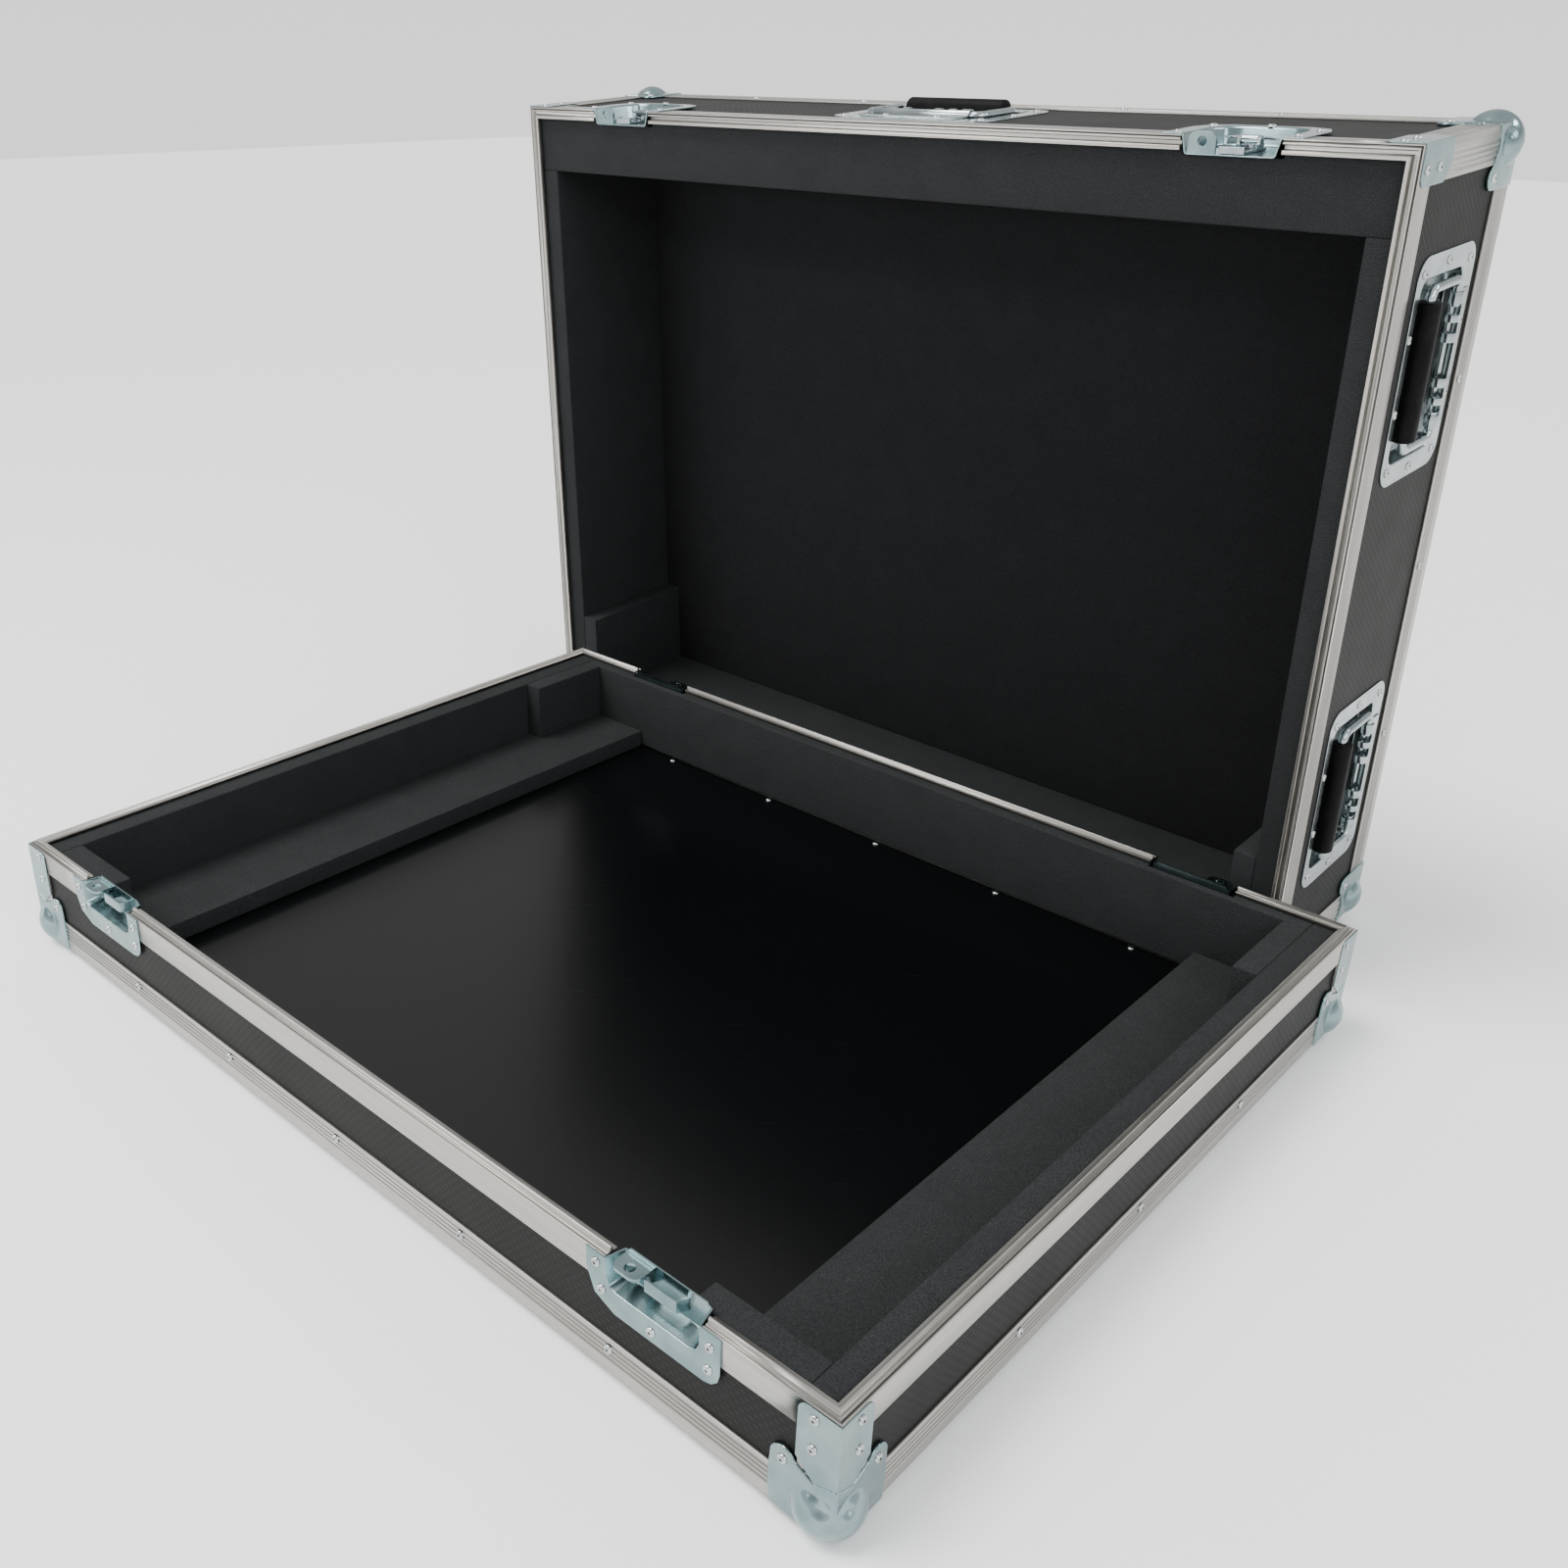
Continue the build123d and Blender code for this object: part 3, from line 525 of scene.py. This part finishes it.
class Workshop:
    """Keeps the materials of both halves and turns bmeshes into finished pieces."""

    def __init__(self, frame: dict) -> None:
        """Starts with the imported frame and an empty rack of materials."""
        self.frame = frame
        self.rack: Dict[str, bpy.types.Material] = {}

    def finish(self, finish: Finish, half: Half, *args: str) -> bpy.types.Material:
        """A finish on one half, made once; a laminate also takes the two axes of its face."""
        key = "/".join([finish.name, half.value, *args])
        if key not in self.rack:
            self.rack[key] = finish.make(half, *args)
        return self.rack[key]

    def piece(self, name: str, bm: bmesh.types.BMesh, material: bpy.types.Material, body: str,
              stands_for: Sequence[str] = (), smooth: float = 40.0, flat: bool = False) -> bpy.types.Object:
        """Makes an object of a bmesh that is already in metres and in place.

        Args:
            name: The piece's name.
            bm: Its shape; it is freed.
            material: Its finish.
            body: The CAD body it rides on.
            stands_for: CAD nodes it replaces.
            smooth: Edges sharper than this many degrees stay sharp.
            flat: Whether large faces keep their own normal, so that only the bends between them shade.

        Returns:
            The finished object.
        """
        for edge in bm.edges:
            edge.smooth = not (edge.is_manifold and edge.calc_face_angle(0.0) > math.radians(smooth))
        for f in bm.faces:
            f.smooth = True
        mesh = bpy.data.meshes.new(name)
        bm.to_mesh(mesh)
        bm.free()
        mesh.materials.append(material)
        obj = bpy.data.objects.new(name, mesh)
        bpy.context.scene.collection.objects.link(obj)
        if flat:
            obj.modifiers.new("flat", "WEIGHTED_NORMAL").keep_sharp = True
        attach(obj, body)
        if stands_for:
            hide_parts(*stands_for)
        LOG.info("%s rides on %s with %d faces", name, body, len(mesh.polygons))
        return obj

    @staticmethod
    def blank(name: str, bm: bmesh.types.BMesh) -> bpy.types.Object:
        """A working object of a bmesh, removed again once its modifiers are baked."""
        bmesh.ops.recalc_face_normals(bm, faces=bm.faces)
        mesh = bpy.data.meshes.new(name)
        bm.to_mesh(mesh)
        bm.free()
        obj = bpy.data.objects.new(name, mesh)
        bpy.context.scene.collection.objects.link(obj)
        return obj

    @staticmethod
    def baked(blank: bpy.types.Object) -> bmesh.types.BMesh:
        """A working object's shape with its modifiers; the object goes."""
        mesh = bpy.data.meshes.new_from_object(blank.evaluated_get(bpy.context.evaluated_depsgraph_get()))
        bm = bmesh.new()
        bm.from_mesh(mesh)
        bpy.data.objects.remove(blank)
        bpy.data.meshes.remove(mesh)
        return bm

    def cut(self, bm: bmesh.types.BMesh, tool: bmesh.types.BMesh) -> bmesh.types.BMesh:
        """The first shape with the second taken away; both are used up."""
        body, punch = self.blank("body", bm), self.blank("punch", tool)
        hole = body.modifiers.new("hole", "BOOLEAN")
        hole.operation, hole.solver, hole.object = "DIFFERENCE", "EXACT", punch
        made = self.baked(body)
        bpy.data.objects.remove(punch)
        return made

    def softened(self, node: str, offset: float, segments: int = 2, least: float = 28.0, bend: float = 0.0,
                 tool: Optional[bmesh.types.BMesh] = None) -> bmesh.types.BMesh:
        """A merged copy of a CAD node with its sharp edges rounded.

        Args:
            node: The CAD node.
            offset: Width of the rounding in millimetres.
            segments: Steps round each edge.
            least: Edges sharper than this many degrees are rounded.
            bend: Width in millimetres of the rounder folds of pressed sheet, edges short of a right angle.
            tool: A shape taken away before the edges are rounded.

        Returns:
            The new shape, in metres.
        """
        bm = bmesh.new()
        bm.from_mesh(self.frame["nodes"][node].data)
        bmesh.ops.remove_doubles(bm, verts=bm.verts, dist=WELD)
        bmesh.ops.dissolve_limit(bm, angle_limit=LEVEL, verts=bm.verts, edges=bm.edges)
        bm = self.cut(bm, tool) if tool else bm
        if bend:
            self.round_edges(bm, math.radians(least), FOLD_MOST, bend, 3)
        self.round_edges(bm, math.radians(least), math.tau, offset, segments)
        return bm

    @staticmethod
    def round_edges(bm: bmesh.types.BMesh, least: float, most: float, width: float, segments: int) -> None:
        """Bevels the edges that turn by more than one angle and less than another, both in radians."""
        edges = [e for e in bm.edges if e.is_manifold and least < e.calc_face_angle(0.0) < most]
        bmesh.ops.bevel(bm, geom=edges, offset=width * MM, offset_type="OFFSET", affect="EDGES",
                        segments=segments, profile=0.5, material=-1, clamp_overlap=True)


@dataclass
class Panels:
    """The laminated plywood walls, floor and top."""

    finish: Laminate = Laminate("laminate")
    deck: ScuffedDeck = ScuffedDeck("black_deck")

    def build(self, shop: Workshop) -> None:
        """Dresses the CAD panels."""
        spans = {"front": ("x", "z"), "back": ("x", "z"), "left": ("y", "z"), "right": ("y", "z"),
                 "top": ("x", "y")}
        for half in Half:
            for wall, (u, v) in spans.items():
                node = shop.frame["nodes"].get(f"{half.value}_{wall}_panel")
                if node:
                    self.dress(node, shop.finish(self.finish, half, u, v))
        self.dress(shop.frame["nodes"]["base_floor_panel"], shop.finish(self.deck, Half.BASE))

    @staticmethod
    def dress(node: bpy.types.Object, material: bpy.types.Material) -> None:
        """Gives one node its material."""
        node.data.materials.clear()
        node.data.materials.append(material)
        LOG.info("%s dressed with %s", node.name, material.name)


@dataclass
class Edging:
    """Aluminium angles on the edges, posts on the corners and tongue and groove on the rims."""

    ring: Aluminium = Aluminium("aluminium_ring", Run.RING)
    post: Aluminium = Aluminium("aluminium_post", Run.UP)
    round_over: float = 0.35

    def build(self, shop: Workshop) -> None:
        """Rounds the extrusions' arrises a little and dresses them."""
        kinds = (("edge_extrusions", self.ring), ("rim_extrusions", self.ring), ("corner_posts", self.post))
        for half in Half:
            for kind, finish in kinds:
                node = f"{half.value}_{kind}"
                bm = shop.softened(node, self.round_over, 2)
                shop.piece(f"{node}_drawn", bm, shop.finish(finish, half), half.value, [node])


@dataclass
class PressedWork:
    """Pressed and stamped zinc steel: braces, latch dishes, tabs, keepers, wings, hooks and handles.

    A slot is its place and width along the hinge; slot_v is its reach across, all in millimetres.
    """

    zinc: ZincPlate = ZincPlate("zinc_plate")
    bright: ZincPlate = ZincPlate("bright_zinc", light=(0.47, 0.52, 0.54), dark=(0.24, 0.28, 0.30), rough=0.14)
    silver: ZincPlate = ZincPlate("silver_zinc", light=(0.44, 0.49, 0.50), dark=(0.24, 0.28, 0.29), rough=0.14)
    arris: float = 0.4
    bail_arris: float = 0.2
    bend: float = 2.2
    slots: Tuple[Tuple[float, float], ...] = ((0.0, 30.0), (-27.0, 9.0), (27.0, 9.0), (-42.0, 9.0), (42.0, 9.0))
    slot_v: Tuple[float, float] = (21.0, 31.0)
    slot_deep: float = 16.0

    def build(self, shop: Workshop) -> None:
        """Rounds the arrises of every pressed piece and dresses it."""
        fixed = {Half.BASE: ("corner_braces", "keeper_dishes", "keeper_fittings"),
                 Half.LID: ("corner_braces", "latch_dishes", "latch_tabs", "handle_dishes", "handle_hinges")}
        for half, kinds in fixed.items():
            for kind in kinds:
                finish = self.silver if kind.startswith("handle") else self.zinc
                self.press(shop, f"{half.value}_{kind}", half, half.value, finish)
        for name in LATCHES:
            for kind, body in (("latch_rotor", "rotor"), ("latch_wing", "wing"), ("latch_hook", "hook")):
                self.press(shop, f"{kind}_{name}", Half.LID, f"{body}_{name}", self.bright)
        for name in HANDLES:
            self.press(shop, f"handle_bail_{name}", Half.LID, f"handle_{name}", self.bright, self.bail_arris)

    def windows(self) -> bmesh.types.BMesh:
        """Punches for the slots between the tabs that are rolled into each handle's hinge knuckle."""
        bm = bmesh.new()
        v0, v1 = self.slot_v
        for frame in CASE.handles():
            for place, wide in self.slots:
                size = Matrix.Diagonal((wide, v1 - v0, self.slot_deep, 1.0))
                at = Matrix.Translation((place, (v0 + v1) / 2, 0.0)) @ size
                bmesh.ops.create_cube(bm, size=1.0, matrix=Matrix.Scale(MM, 4) @ frame @ at)
        return bm

    def press(self, shop: Workshop, node: str, half: Half, body: str, finish: ZincPlate,
              arris: Optional[float] = None) -> None:
        """One pressed piece in place of its CAD node."""
        bend = self.bend if node.endswith("dishes") else 0.0
        tool = self.windows() if node.endswith("hinges") else None
        bm = shop.softened(node, arris or self.arris, bend=bend, tool=tool)
        shop.piece(f"{node}_pressed", bm, shop.finish(finish, half), body, [node], flat=not tool)


@dataclass
class Grips:
    """Rubber sleeves of the spring handles."""

    rubber: Rubber = Rubber("grip_rubber")
    round_over: float = 0.9

    def build(self, shop: Workshop) -> None:
        """Softens and dresses each sleeve."""
        for name in HANDLES:
            node = f"handle_grip_{name}"
            bm = shop.softened(node, self.round_over, 3)
            shop.piece(f"{node}_rubber", bm, shop.finish(self.rubber, Half.LID), f"handle_{name}", [node])


@dataclass
class BallCorners:
    """Pressed steel ball corners, three flanges drawn into a ball.

    Sizes are in millimetres from the case's own corner, with the case towards +X, +Y and +Z.
    """

    zinc: ZincPlate = ZincPlate("corner_zinc", rough=0.13)
    ball_r: float = 24.0
    ball_in: float = 15.0
    flange: float = 50.0
    lobe_r: float = 10.0
    lobe_u: float = 40.0
    lobe_v: float = 42.0
    notch_u: float = 16.0
    notch_v: float = 39.5
    notch_edge: float = 46.0
    sheet: float = 1.2
    sunk: float = 2.2
    voxel: float = 0.75
    kept: float = 0.16
    core: float = 21.0
    foot: float = 0.3
    ridge_r: float = 2.1
    ridge_in: float = 0.9
    ridge_z: Tuple[float, float] = (19.0, 44.5)
    dimple_at: Tuple[float, float] = (8.8, 25.0)
    dimple_out: float = 2.5
    dimple_deep: float = 3.4
    dimple_wide: float = 4.2

    def plate(self, bm: bmesh.types.BMesh, outline: Sequence[Tuple[float, float]],
              lobes: Sequence[Tuple[float, float]], frame: Matrix) -> None:
        """A flange of one outline and round lobes, from under the face to the sheet's outside."""
        thick = self.sheet + self.sunk
        verts = [bm.verts.new(frame @ Vector((u, v, -self.sunk))) for u, v in outline]
        base = bm.faces.new(verts)
        grown = bmesh.ops.extrude_face_region(bm, geom=[base])
        moved = [v for v in grown["geom"] if isinstance(v, bmesh.types.BMVert)]
        bmesh.ops.translate(bm, verts=moved, vec=frame.to_3x3() @ Vector((0, 0, thick)))
        for u, v in lobes:
            bmesh.ops.create_cone(bm, cap_ends=True, segments=40, radius1=self.lobe_r, radius2=self.lobe_r,
                                  depth=thick, matrix=frame @ Matrix.Translation((u, v, thick / 2 - self.sunk)))

    def one(self) -> bpy.types.Object:
        """The plates, ball, core and ridge of one corner, still passing through each other."""
        bm = bmesh.new()
        t = self.sheet
        side = [(-t, -t), (self.flange - 1, -t), (self.flange + 1, self.notch_u), (self.flange, self.lobe_v),
                (self.lobe_u, self.lobe_v), (self.lobe_u - self.lobe_r * 0.9, self.lobe_v + self.lobe_r * 0.4),
                (self.notch_u, self.notch_v), (-t, self.notch_edge)]
        b = self.lobe_r + 3
        under = [(-t, -t), (self.flange, -t), (self.flange, b), (self.lobe_u, b + self.lobe_r * 0.9),
                 (b + self.lobe_r * 2, b + self.lobe_r * 2), (b + self.lobe_r * 0.9, self.lobe_u),
                 (b, self.flange), (-t, self.flange)]
        x_wall = Matrix(((1, 0, 0), (0, 0, 1), (0, -1, 0))).transposed().to_4x4()
        y_wall = Matrix(((0, 1, 0), (0, 0, 1), (-1, 0, 0))).transposed().to_4x4()
        floor = Matrix(((0, 1, 0), (1, 0, 0), (0, 0, -1))).transposed().to_4x4()
        self.plate(bm, side, [(self.lobe_u, self.lobe_v)], x_wall)
        self.plate(bm, side, [(self.lobe_u, self.lobe_v)], y_wall)
        self.plate(bm, under, [(self.lobe_u, b), (b, self.lobe_u)], floor)
        bmesh.ops.create_icosphere(bm, subdivisions=5, radius=self.ball_r,
                                   matrix=Matrix.Translation([self.ball_in] * 3))
        bmesh.ops.create_cube(bm, size=self.core, matrix=Matrix.Translation([self.core / 2] * 3))
        low, high = self.ridge_z
        middle = Matrix.Translation((self.ridge_in, self.ridge_in, (low + high) / 2))
        bmesh.ops.create_cone(bm, cap_ends=True, segments=24, radius1=self.ridge_r, radius2=self.ridge_r,
                              depth=high - low, matrix=middle)
        return Workshop.blank("corner_blank", bm)

    def pressed(self) -> bmesh.types.BMesh:
        """The corner's skin after remeshing, smoothing and thinning, in millimetres."""
        blank = self.one()
        remesh = blank.modifiers.new("skin", "REMESH")
        remesh.mode = "VOXEL"
        remesh.voxel_size = self.voxel
        smooth = blank.modifiers.new("draw", "SMOOTH")
        smooth.factor, smooth.iterations = 0.5, 3
        thin = blank.modifiers.new("thin", "DECIMATE")
        thin.ratio = self.kept
        bm = Workshop.baked(blank)
        self.trim(bm)
        return bm

    def trim(self, bm: bmesh.types.BMesh) -> None:
        """Presses the dimples, draws the case corner's tip into the ball and levels the foot."""
        low = self.ball_in - self.ball_r + self.foot
        centre = Vector([self.ball_in] * 3)
        (u, w), out = self.dimple_at, -self.dimple_out
        punches = ((Vector((u, out, w)), Vector((0, 1, 0))), (Vector((out, u, w)), Vector((1, 0, 0))))
        for v in bm.verts:
            if max(v.co) < self.ball_in and (v.co - centre).length > self.ball_r:
                v.co = centre + (v.co - centre).normalized() * self.ball_r
            push = Vector()
            for at, way in punches:
                near = (v.co - at).length / self.dimple_wide
                push += way * self.dimple_deep * math.exp(-near * near)
            v.co += push
            v.co.z = max(v.co.z, low)

    def build(self, shop: Workshop) -> None:
        """Sets a corner at each of the four outer corners of both halves."""
        skin = bpy.data.meshes.new("corner_skin")
        one = self.pressed()
        one.to_mesh(skin)
        one.free()
        for half in Half:
            bm = bmesh.new()
            z, up = (CASE.floor_z, 1) if half is Half.BASE else (CASE.lid_height, -1)
            for sx in (1, -1):
                for sy in (1, -1):
                    at = Matrix.Translation((-sx * CASE.width / 2, -sy * CASE.depth / 2, z))
                    flip = Matrix.Diagonal((sx, sy, up, 1))
                    part = skin.copy()
                    part.transform(Matrix.Scale(MM, 4) @ CASE.half(half) @ at @ flip)
                    if sx * sy * up < 0:
                        part.flip_normals()
                    bm.from_mesh(part)
                    bpy.data.meshes.remove(part)
            node = f"{half.value}_ball_corners"
            shop.piece(f"{node}_pressed", bm, shop.finish(self.zinc, half), half.value, [node], 60.0)
        bpy.data.meshes.remove(skin)


@dataclass
class Rivets:
    """Blind rivets: a low dome with the mandrel's recess in the middle.

    Places are in millimetres. Those of latches, braces and corners run from the wall's rim or outer edge, and those
    of handles from the handle's middle. The seats are heights over the wall's face.
    """

    metal: ZincPlate = ZincPlate("rivet_metal", light=(0.60, 0.61, 0.61), dark=(0.34, 0.35, 0.36), rough=0.12)
    radius: float = 3.8
    height: float = 1.6
    hole: float = 1.2
    steps: int = 12
    plate_seat: float = 1.2
    handle_seat: float = -0.8
    leaf_seat: float = 0.6
    base_latch: Tuple[Tuple[float, float], ...] = ((-50, 9), (-45, 29), (0, 35), (50, 12), (49, 31))
    lid_latch: Tuple[Tuple[float, float], ...] = ((-50, 9), (-46, 62), (0, 71.4), (50, 12), (49, 54))
    corner: Tuple[float, float] = (40, 42)
    brace: Tuple[Tuple[float, float], ...] = ((18.6, 9), (18.6, 33))
    long_row: Tuple[int, float] = (5, 155.0)
    short_row: Tuple[int, float] = (3, 172.0)
    row_v: float = 20.0
    deck_rise: float = 9.0
    deck_y: float = 349.2
    dish: Tuple[Tuple[float, float], ...] = ((80, -48), (84.8, 0), (80, 48), (30, -54.5))
    leaf: Tuple[float, float] = (30, 47.5)

    def head(self, bm: bmesh.types.BMesh, frame: Matrix) -> None:
        """Spins one head at a frame whose Z points out of the seat."""
        r, h = self.radius, self.height
        profile = [(r, -0.2), (r, h * 0.3), (r * 0.86, h * 0.72), (r * 0.60, h), (self.hole, h),
                   (self.hole * 0.95, 0.0), (0.0, 0.0)]
        others = set(bm.verts)
        verts = [bm.verts.new((x, 0.0, z)) for x, z in profile]
        edges = [bm.edges.new(pair) for pair in zip(verts, verts[1:])]
        bmesh.ops.spin(bm, geom=verts + edges, cent=(0, 0, 0), axis=(0, 0, 1), dvec=(0, 0, 0),
                       angle=2 * math.pi, steps=self.steps, use_merge=True, use_duplicate=False)
        bmesh.ops.transform(bm, matrix=frame, verts=[v for v in bm.verts if v not in others])

    @staticmethod
    def row(count: int, pitch: float) -> List[float]:
        """Places of an even row about its middle."""
        return [(i - (count - 1) / 2) * pitch for i in range(count)]

    def on_walls(self, half: Half) -> List[Matrix]:
        """Frames of the rivets on one half's four walls."""
        up = -1 if half is Half.BASE else 1
        rim, outer = (CASE.rim_z, CASE.floor_z) if half is Half.BASE else (0.0, CASE.lid_height)
        latch = self.base_latch if half is Half.BASE else self.lid_latch
        out = []

        def put(frame: Matrix, u: float, v: float, n: float) -> None:
            """Notes one rivet on a wall's frame."""
            out.append(frame @ Matrix.Translation((u, v, n)))

        for side in Side:
            crosswise = side in (Side.FRONT, Side.BACK)
            reach = (CASE.width if crosswise else CASE.depth) / 2
            at_rim, at_edge = CASE.wall(half, side, 0, rim), CASE.wall(half, side, 0, outer)
            for along in self.row(2, CASE.latch_pitch) if crosswise else ():
                for u, v in latch:
                    put(CASE.wall(half, side, along, rim), u, up * v, self.plate_seat)
            for s in (1, -1):
                put(at_edge, s * (reach - self.corner[0]), -up * self.corner[1], self.plate_seat)
                for u, v in self.brace:
                    put(at_rim, s * (reach - u), up * v, self.plate_seat)
            for along in self.row(*(self.long_row if crosswise else self.short_row)):
                put(at_edge, along, -up * self.row_v, 0)
        return out

    def spots(self, half: Half) -> List[Matrix]:
        """Frames of every rivet on one half, in millimetres."""
        out = self.on_walls(half)
        if half is Half.BASE:
            deck = CASE.floor_z + self.deck_rise
            out += [Matrix.Translation((x, self.deck_y, deck)) for x in self.row(*self.long_row)]
        else:
            u, v = self.leaf
            for frame in CASE.handles():
                for s in (1, -1):
                    out += [frame @ Matrix.Translation((s * a, b, self.handle_seat)) for a, b in self.dish]
                    out.append(frame @ Matrix.Translation((s * u, v, self.leaf_seat)))
        return out

    def build(self, shop: Workshop) -> None:
        """Sets every rivet of both halves."""
        for half in Half:
            bm = bmesh.new()
            for frame in self.spots(half):
                self.head(bm, Matrix.Scale(MM, 4) @ frame)
            bmesh.ops.recalc_face_normals(bm, faces=bm.faces)
            node = f"{half.value}_rivets"
            shop.piece(f"{node}_domed", bm, shop.finish(self.metal, half), half.value, [node], 50.0)


@dataclass
class Foam:
    """Charcoal foam linings, sawn square with soft arrises."""

    foam: CutFoam = CutFoam("charcoal_foam")
    # A darker copy of the charcoal foam: painted shade on the lid's top lining, deep inside the lid.
    deep: CutFoam = CutFoam("lining_foam", ground=(0.0040, 0.0043, 0.0046), fleck=(0.023, 0.024, 0.0255))
    arris: float = 1.4
    nodes: Dict[Half, Tuple[str, ...]] = field(default_factory=lambda: {
        Half.BASE: ("sides", "back", "ledges", "back_blocks", "front_blocks"),
        Half.LID: ("front", "back", "sides", "blocks", "top")})

    def build(self, shop: Workshop) -> None:
        for half, kinds in self.nodes.items():
            for kind in kinds:
                node = f"{half.value}_foam_{kind}"
                bm = shop.softened(node, self.arris, 3)
                # The lid's top lining takes the darker copy, as painted shade.
                foam = self.deep if node == "lid_foam_top" else self.foam
                obj = shop.piece(f"{node}_cut", bm, shop.finish(foam, half), half.value, [node])


@dataclass
class Studio:
    """Pale floor, soft light and the camera at the photograph's viewpoint."""

    eye: Tuple[float, float, float] = (0.84472, -0.90180, 0.81671)
    yaw: float = 0.7663582
    pitch: float = 0.4408926
    roll: float = 0.0056490
    focal: float = 1539.7267
    centre: Tuple[float, float] = (657.41873, 778.91712)
    frame_px: float = 1600.0
    sensor: float = 36.0
    sky: float = 1.35
    sky_stops: Tuple[Tuple[float, float], ...] = ((0.0, 1.0), (0.12, 0.95), (0.36, 0.48), (0.80, 0.80))

    def camera(self) -> None:
        """Makes the camera and sets it as the scene's own."""
        data = bpy.data.cameras.new("viewpoint")
        data.sensor_width = self.sensor
        data.lens = self.focal / self.frame_px * data.sensor_width
        data.shift_x = (self.frame_px / 2 - self.centre[0]) / self.frame_px
        data.shift_y = (self.centre[1] - self.frame_px / 2) / self.frame_px
        data.clip_start, data.clip_end = 0.02, 50.0
        cam = bpy.data.objects.new("viewpoint", data)
        bpy.context.scene.collection.objects.link(cam)
        ahead = Vector((-math.sin(self.yaw) * math.cos(self.pitch), math.cos(self.yaw) * math.cos(self.pitch),
                        -math.sin(self.pitch)))
        right = Vector((math.cos(self.yaw), math.sin(self.yaw), 0))
        up = right.cross(ahead)
        right, up = (right * math.cos(self.roll) + up * math.sin(self.roll),
                     up * math.cos(self.roll) - right * math.sin(self.roll))
        turn = Matrix((right, up, -ahead)).transposed().to_4x4()
        cam.matrix_world = Matrix.Translation(self.eye) @ turn
        bpy.context.scene.camera = cam

    def floor(self) -> None:
        """A wide plain ground plane."""
        bm = bmesh.new()
        bmesh.ops.create_grid(bm, x_segments=8, y_segments=8, size=12.0)
        mesh = bpy.data.meshes.new("studio_floor")
        bm.to_mesh(mesh)
        bm.free()
        mesh.materials.append(StudioFloor().make())
        obj = bpy.data.objects.new("studio_floor", mesh)
        bpy.context.scene.collection.objects.link(obj)

    def lamp(self, name: str, at: Tuple[float, float, float], aim: Tuple[float, float, float],
             size: Tuple[float, float], power: float, colour: Colour = (1.0, 1.0, 1.0)) -> None:
        """One long soft light pointed at a place."""
        data = bpy.data.lights.new(name, "AREA")
        data.shape, data.size, data.size_y, data.energy, data.color = "RECTANGLE", *size, power, colour
        obj = bpy.data.objects.new(name, data)
        bpy.context.scene.collection.objects.link(obj)
        obj.location = at
        obj.rotation_euler = (Vector(aim) - Vector(at)).to_track_quat("-Z", "Y").to_euler()

    def sun(self, name: str, at: Tuple[float, float, float], power: float, spread: float, colour: Colour) -> None:
        """A distant light as wide as a window, so the ground is lit evenly."""
        data = bpy.data.lights.new(name, "SUN")
        data.energy, data.angle, data.color = power, math.radians(spread), colour
        obj = bpy.data.objects.new(name, data)
        bpy.context.scene.collection.objects.link(obj)
        obj.location = at
        obj.rotation_euler = (-Vector(at)).to_track_quat("-Z", "Y").to_euler()

    def light(self) -> None:
        """A pale horizon under a dimmer sky, two wide suns and four long soft lamps."""
        world = bpy.data.worlds.new("studio")
        bpy.context.scene.world = world
        world.use_nodes = True
        nodes, links = world.node_tree.nodes, world.node_tree.links
        way = nodes.new("ShaderNodeTexCoord")
        height = nodes.new("ShaderNodeSeparateXYZ")
        ramp = nodes.new("ShaderNodeValToRGB")
        links.new(way.outputs["Generated"], height.inputs[0])
        links.new(height.outputs[2], ramp.inputs[0])
        for i, (at, value) in enumerate(self.sky_stops):
            stop = ramp.color_ramp.elements[i] if i < 2 else ramp.color_ramp.elements.new(at)
            stop.position, stop.color = at, (value, value, value, 1.0)
        links.new(ramp.outputs[0], nodes["Background"].inputs[0])
        nodes["Background"].inputs[1].default_value = self.sky
        self.sun("key", (-1.0, -1.1, 3.0), 3.3, 26.0, (1.0, 0.985, 0.96))
        self.sun("fill", (2.6, -0.6, 1.5), 1.3, 38.0, (0.95, 0.98, 1.0))
        self.lamp("strip", (-0.9, -1.7, 1.9), (0, 0, 0.1), (1.2, 0.3), 18.0)
        self.lamp("glint", (1.7, -0.9, 1.3), (0.45, -0.2, 0.1), (0.7, 0.25), 8.0, (0.9, 0.97, 1.0))
        self.lamp("low_left", (-1.3, -1.6, 0.95), (0.0, -0.3, 0.1), (1.5, 0.25), 18.0, (0.95, 0.98, 1.0))
        self.lamp("back_edge", (1.6, 1.5, 1.9), (0.4, 0.0, 0.1), (1.1, 0.3), 14.0, (0.97, 0.99, 1.0))

    def build(self) -> None:
        """Sets up camera, floor and light."""
        self.camera()
        self.floor()
        self.light()


def main() -> None:
    """Builds every sub-assembly in order."""
    logging.basicConfig(level=logging.INFO, format="%(message)s")
    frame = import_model()
    shop = Workshop(frame)
    Studio().build()
    for part in (Panels(), Edging(), PressedWork(), Grips(), BallCorners(), Rivets(), Foam()):
        part.build(shop)
        LOG.info("%s done", type(part).__name__)


if __name__ == "__main__":
    main()
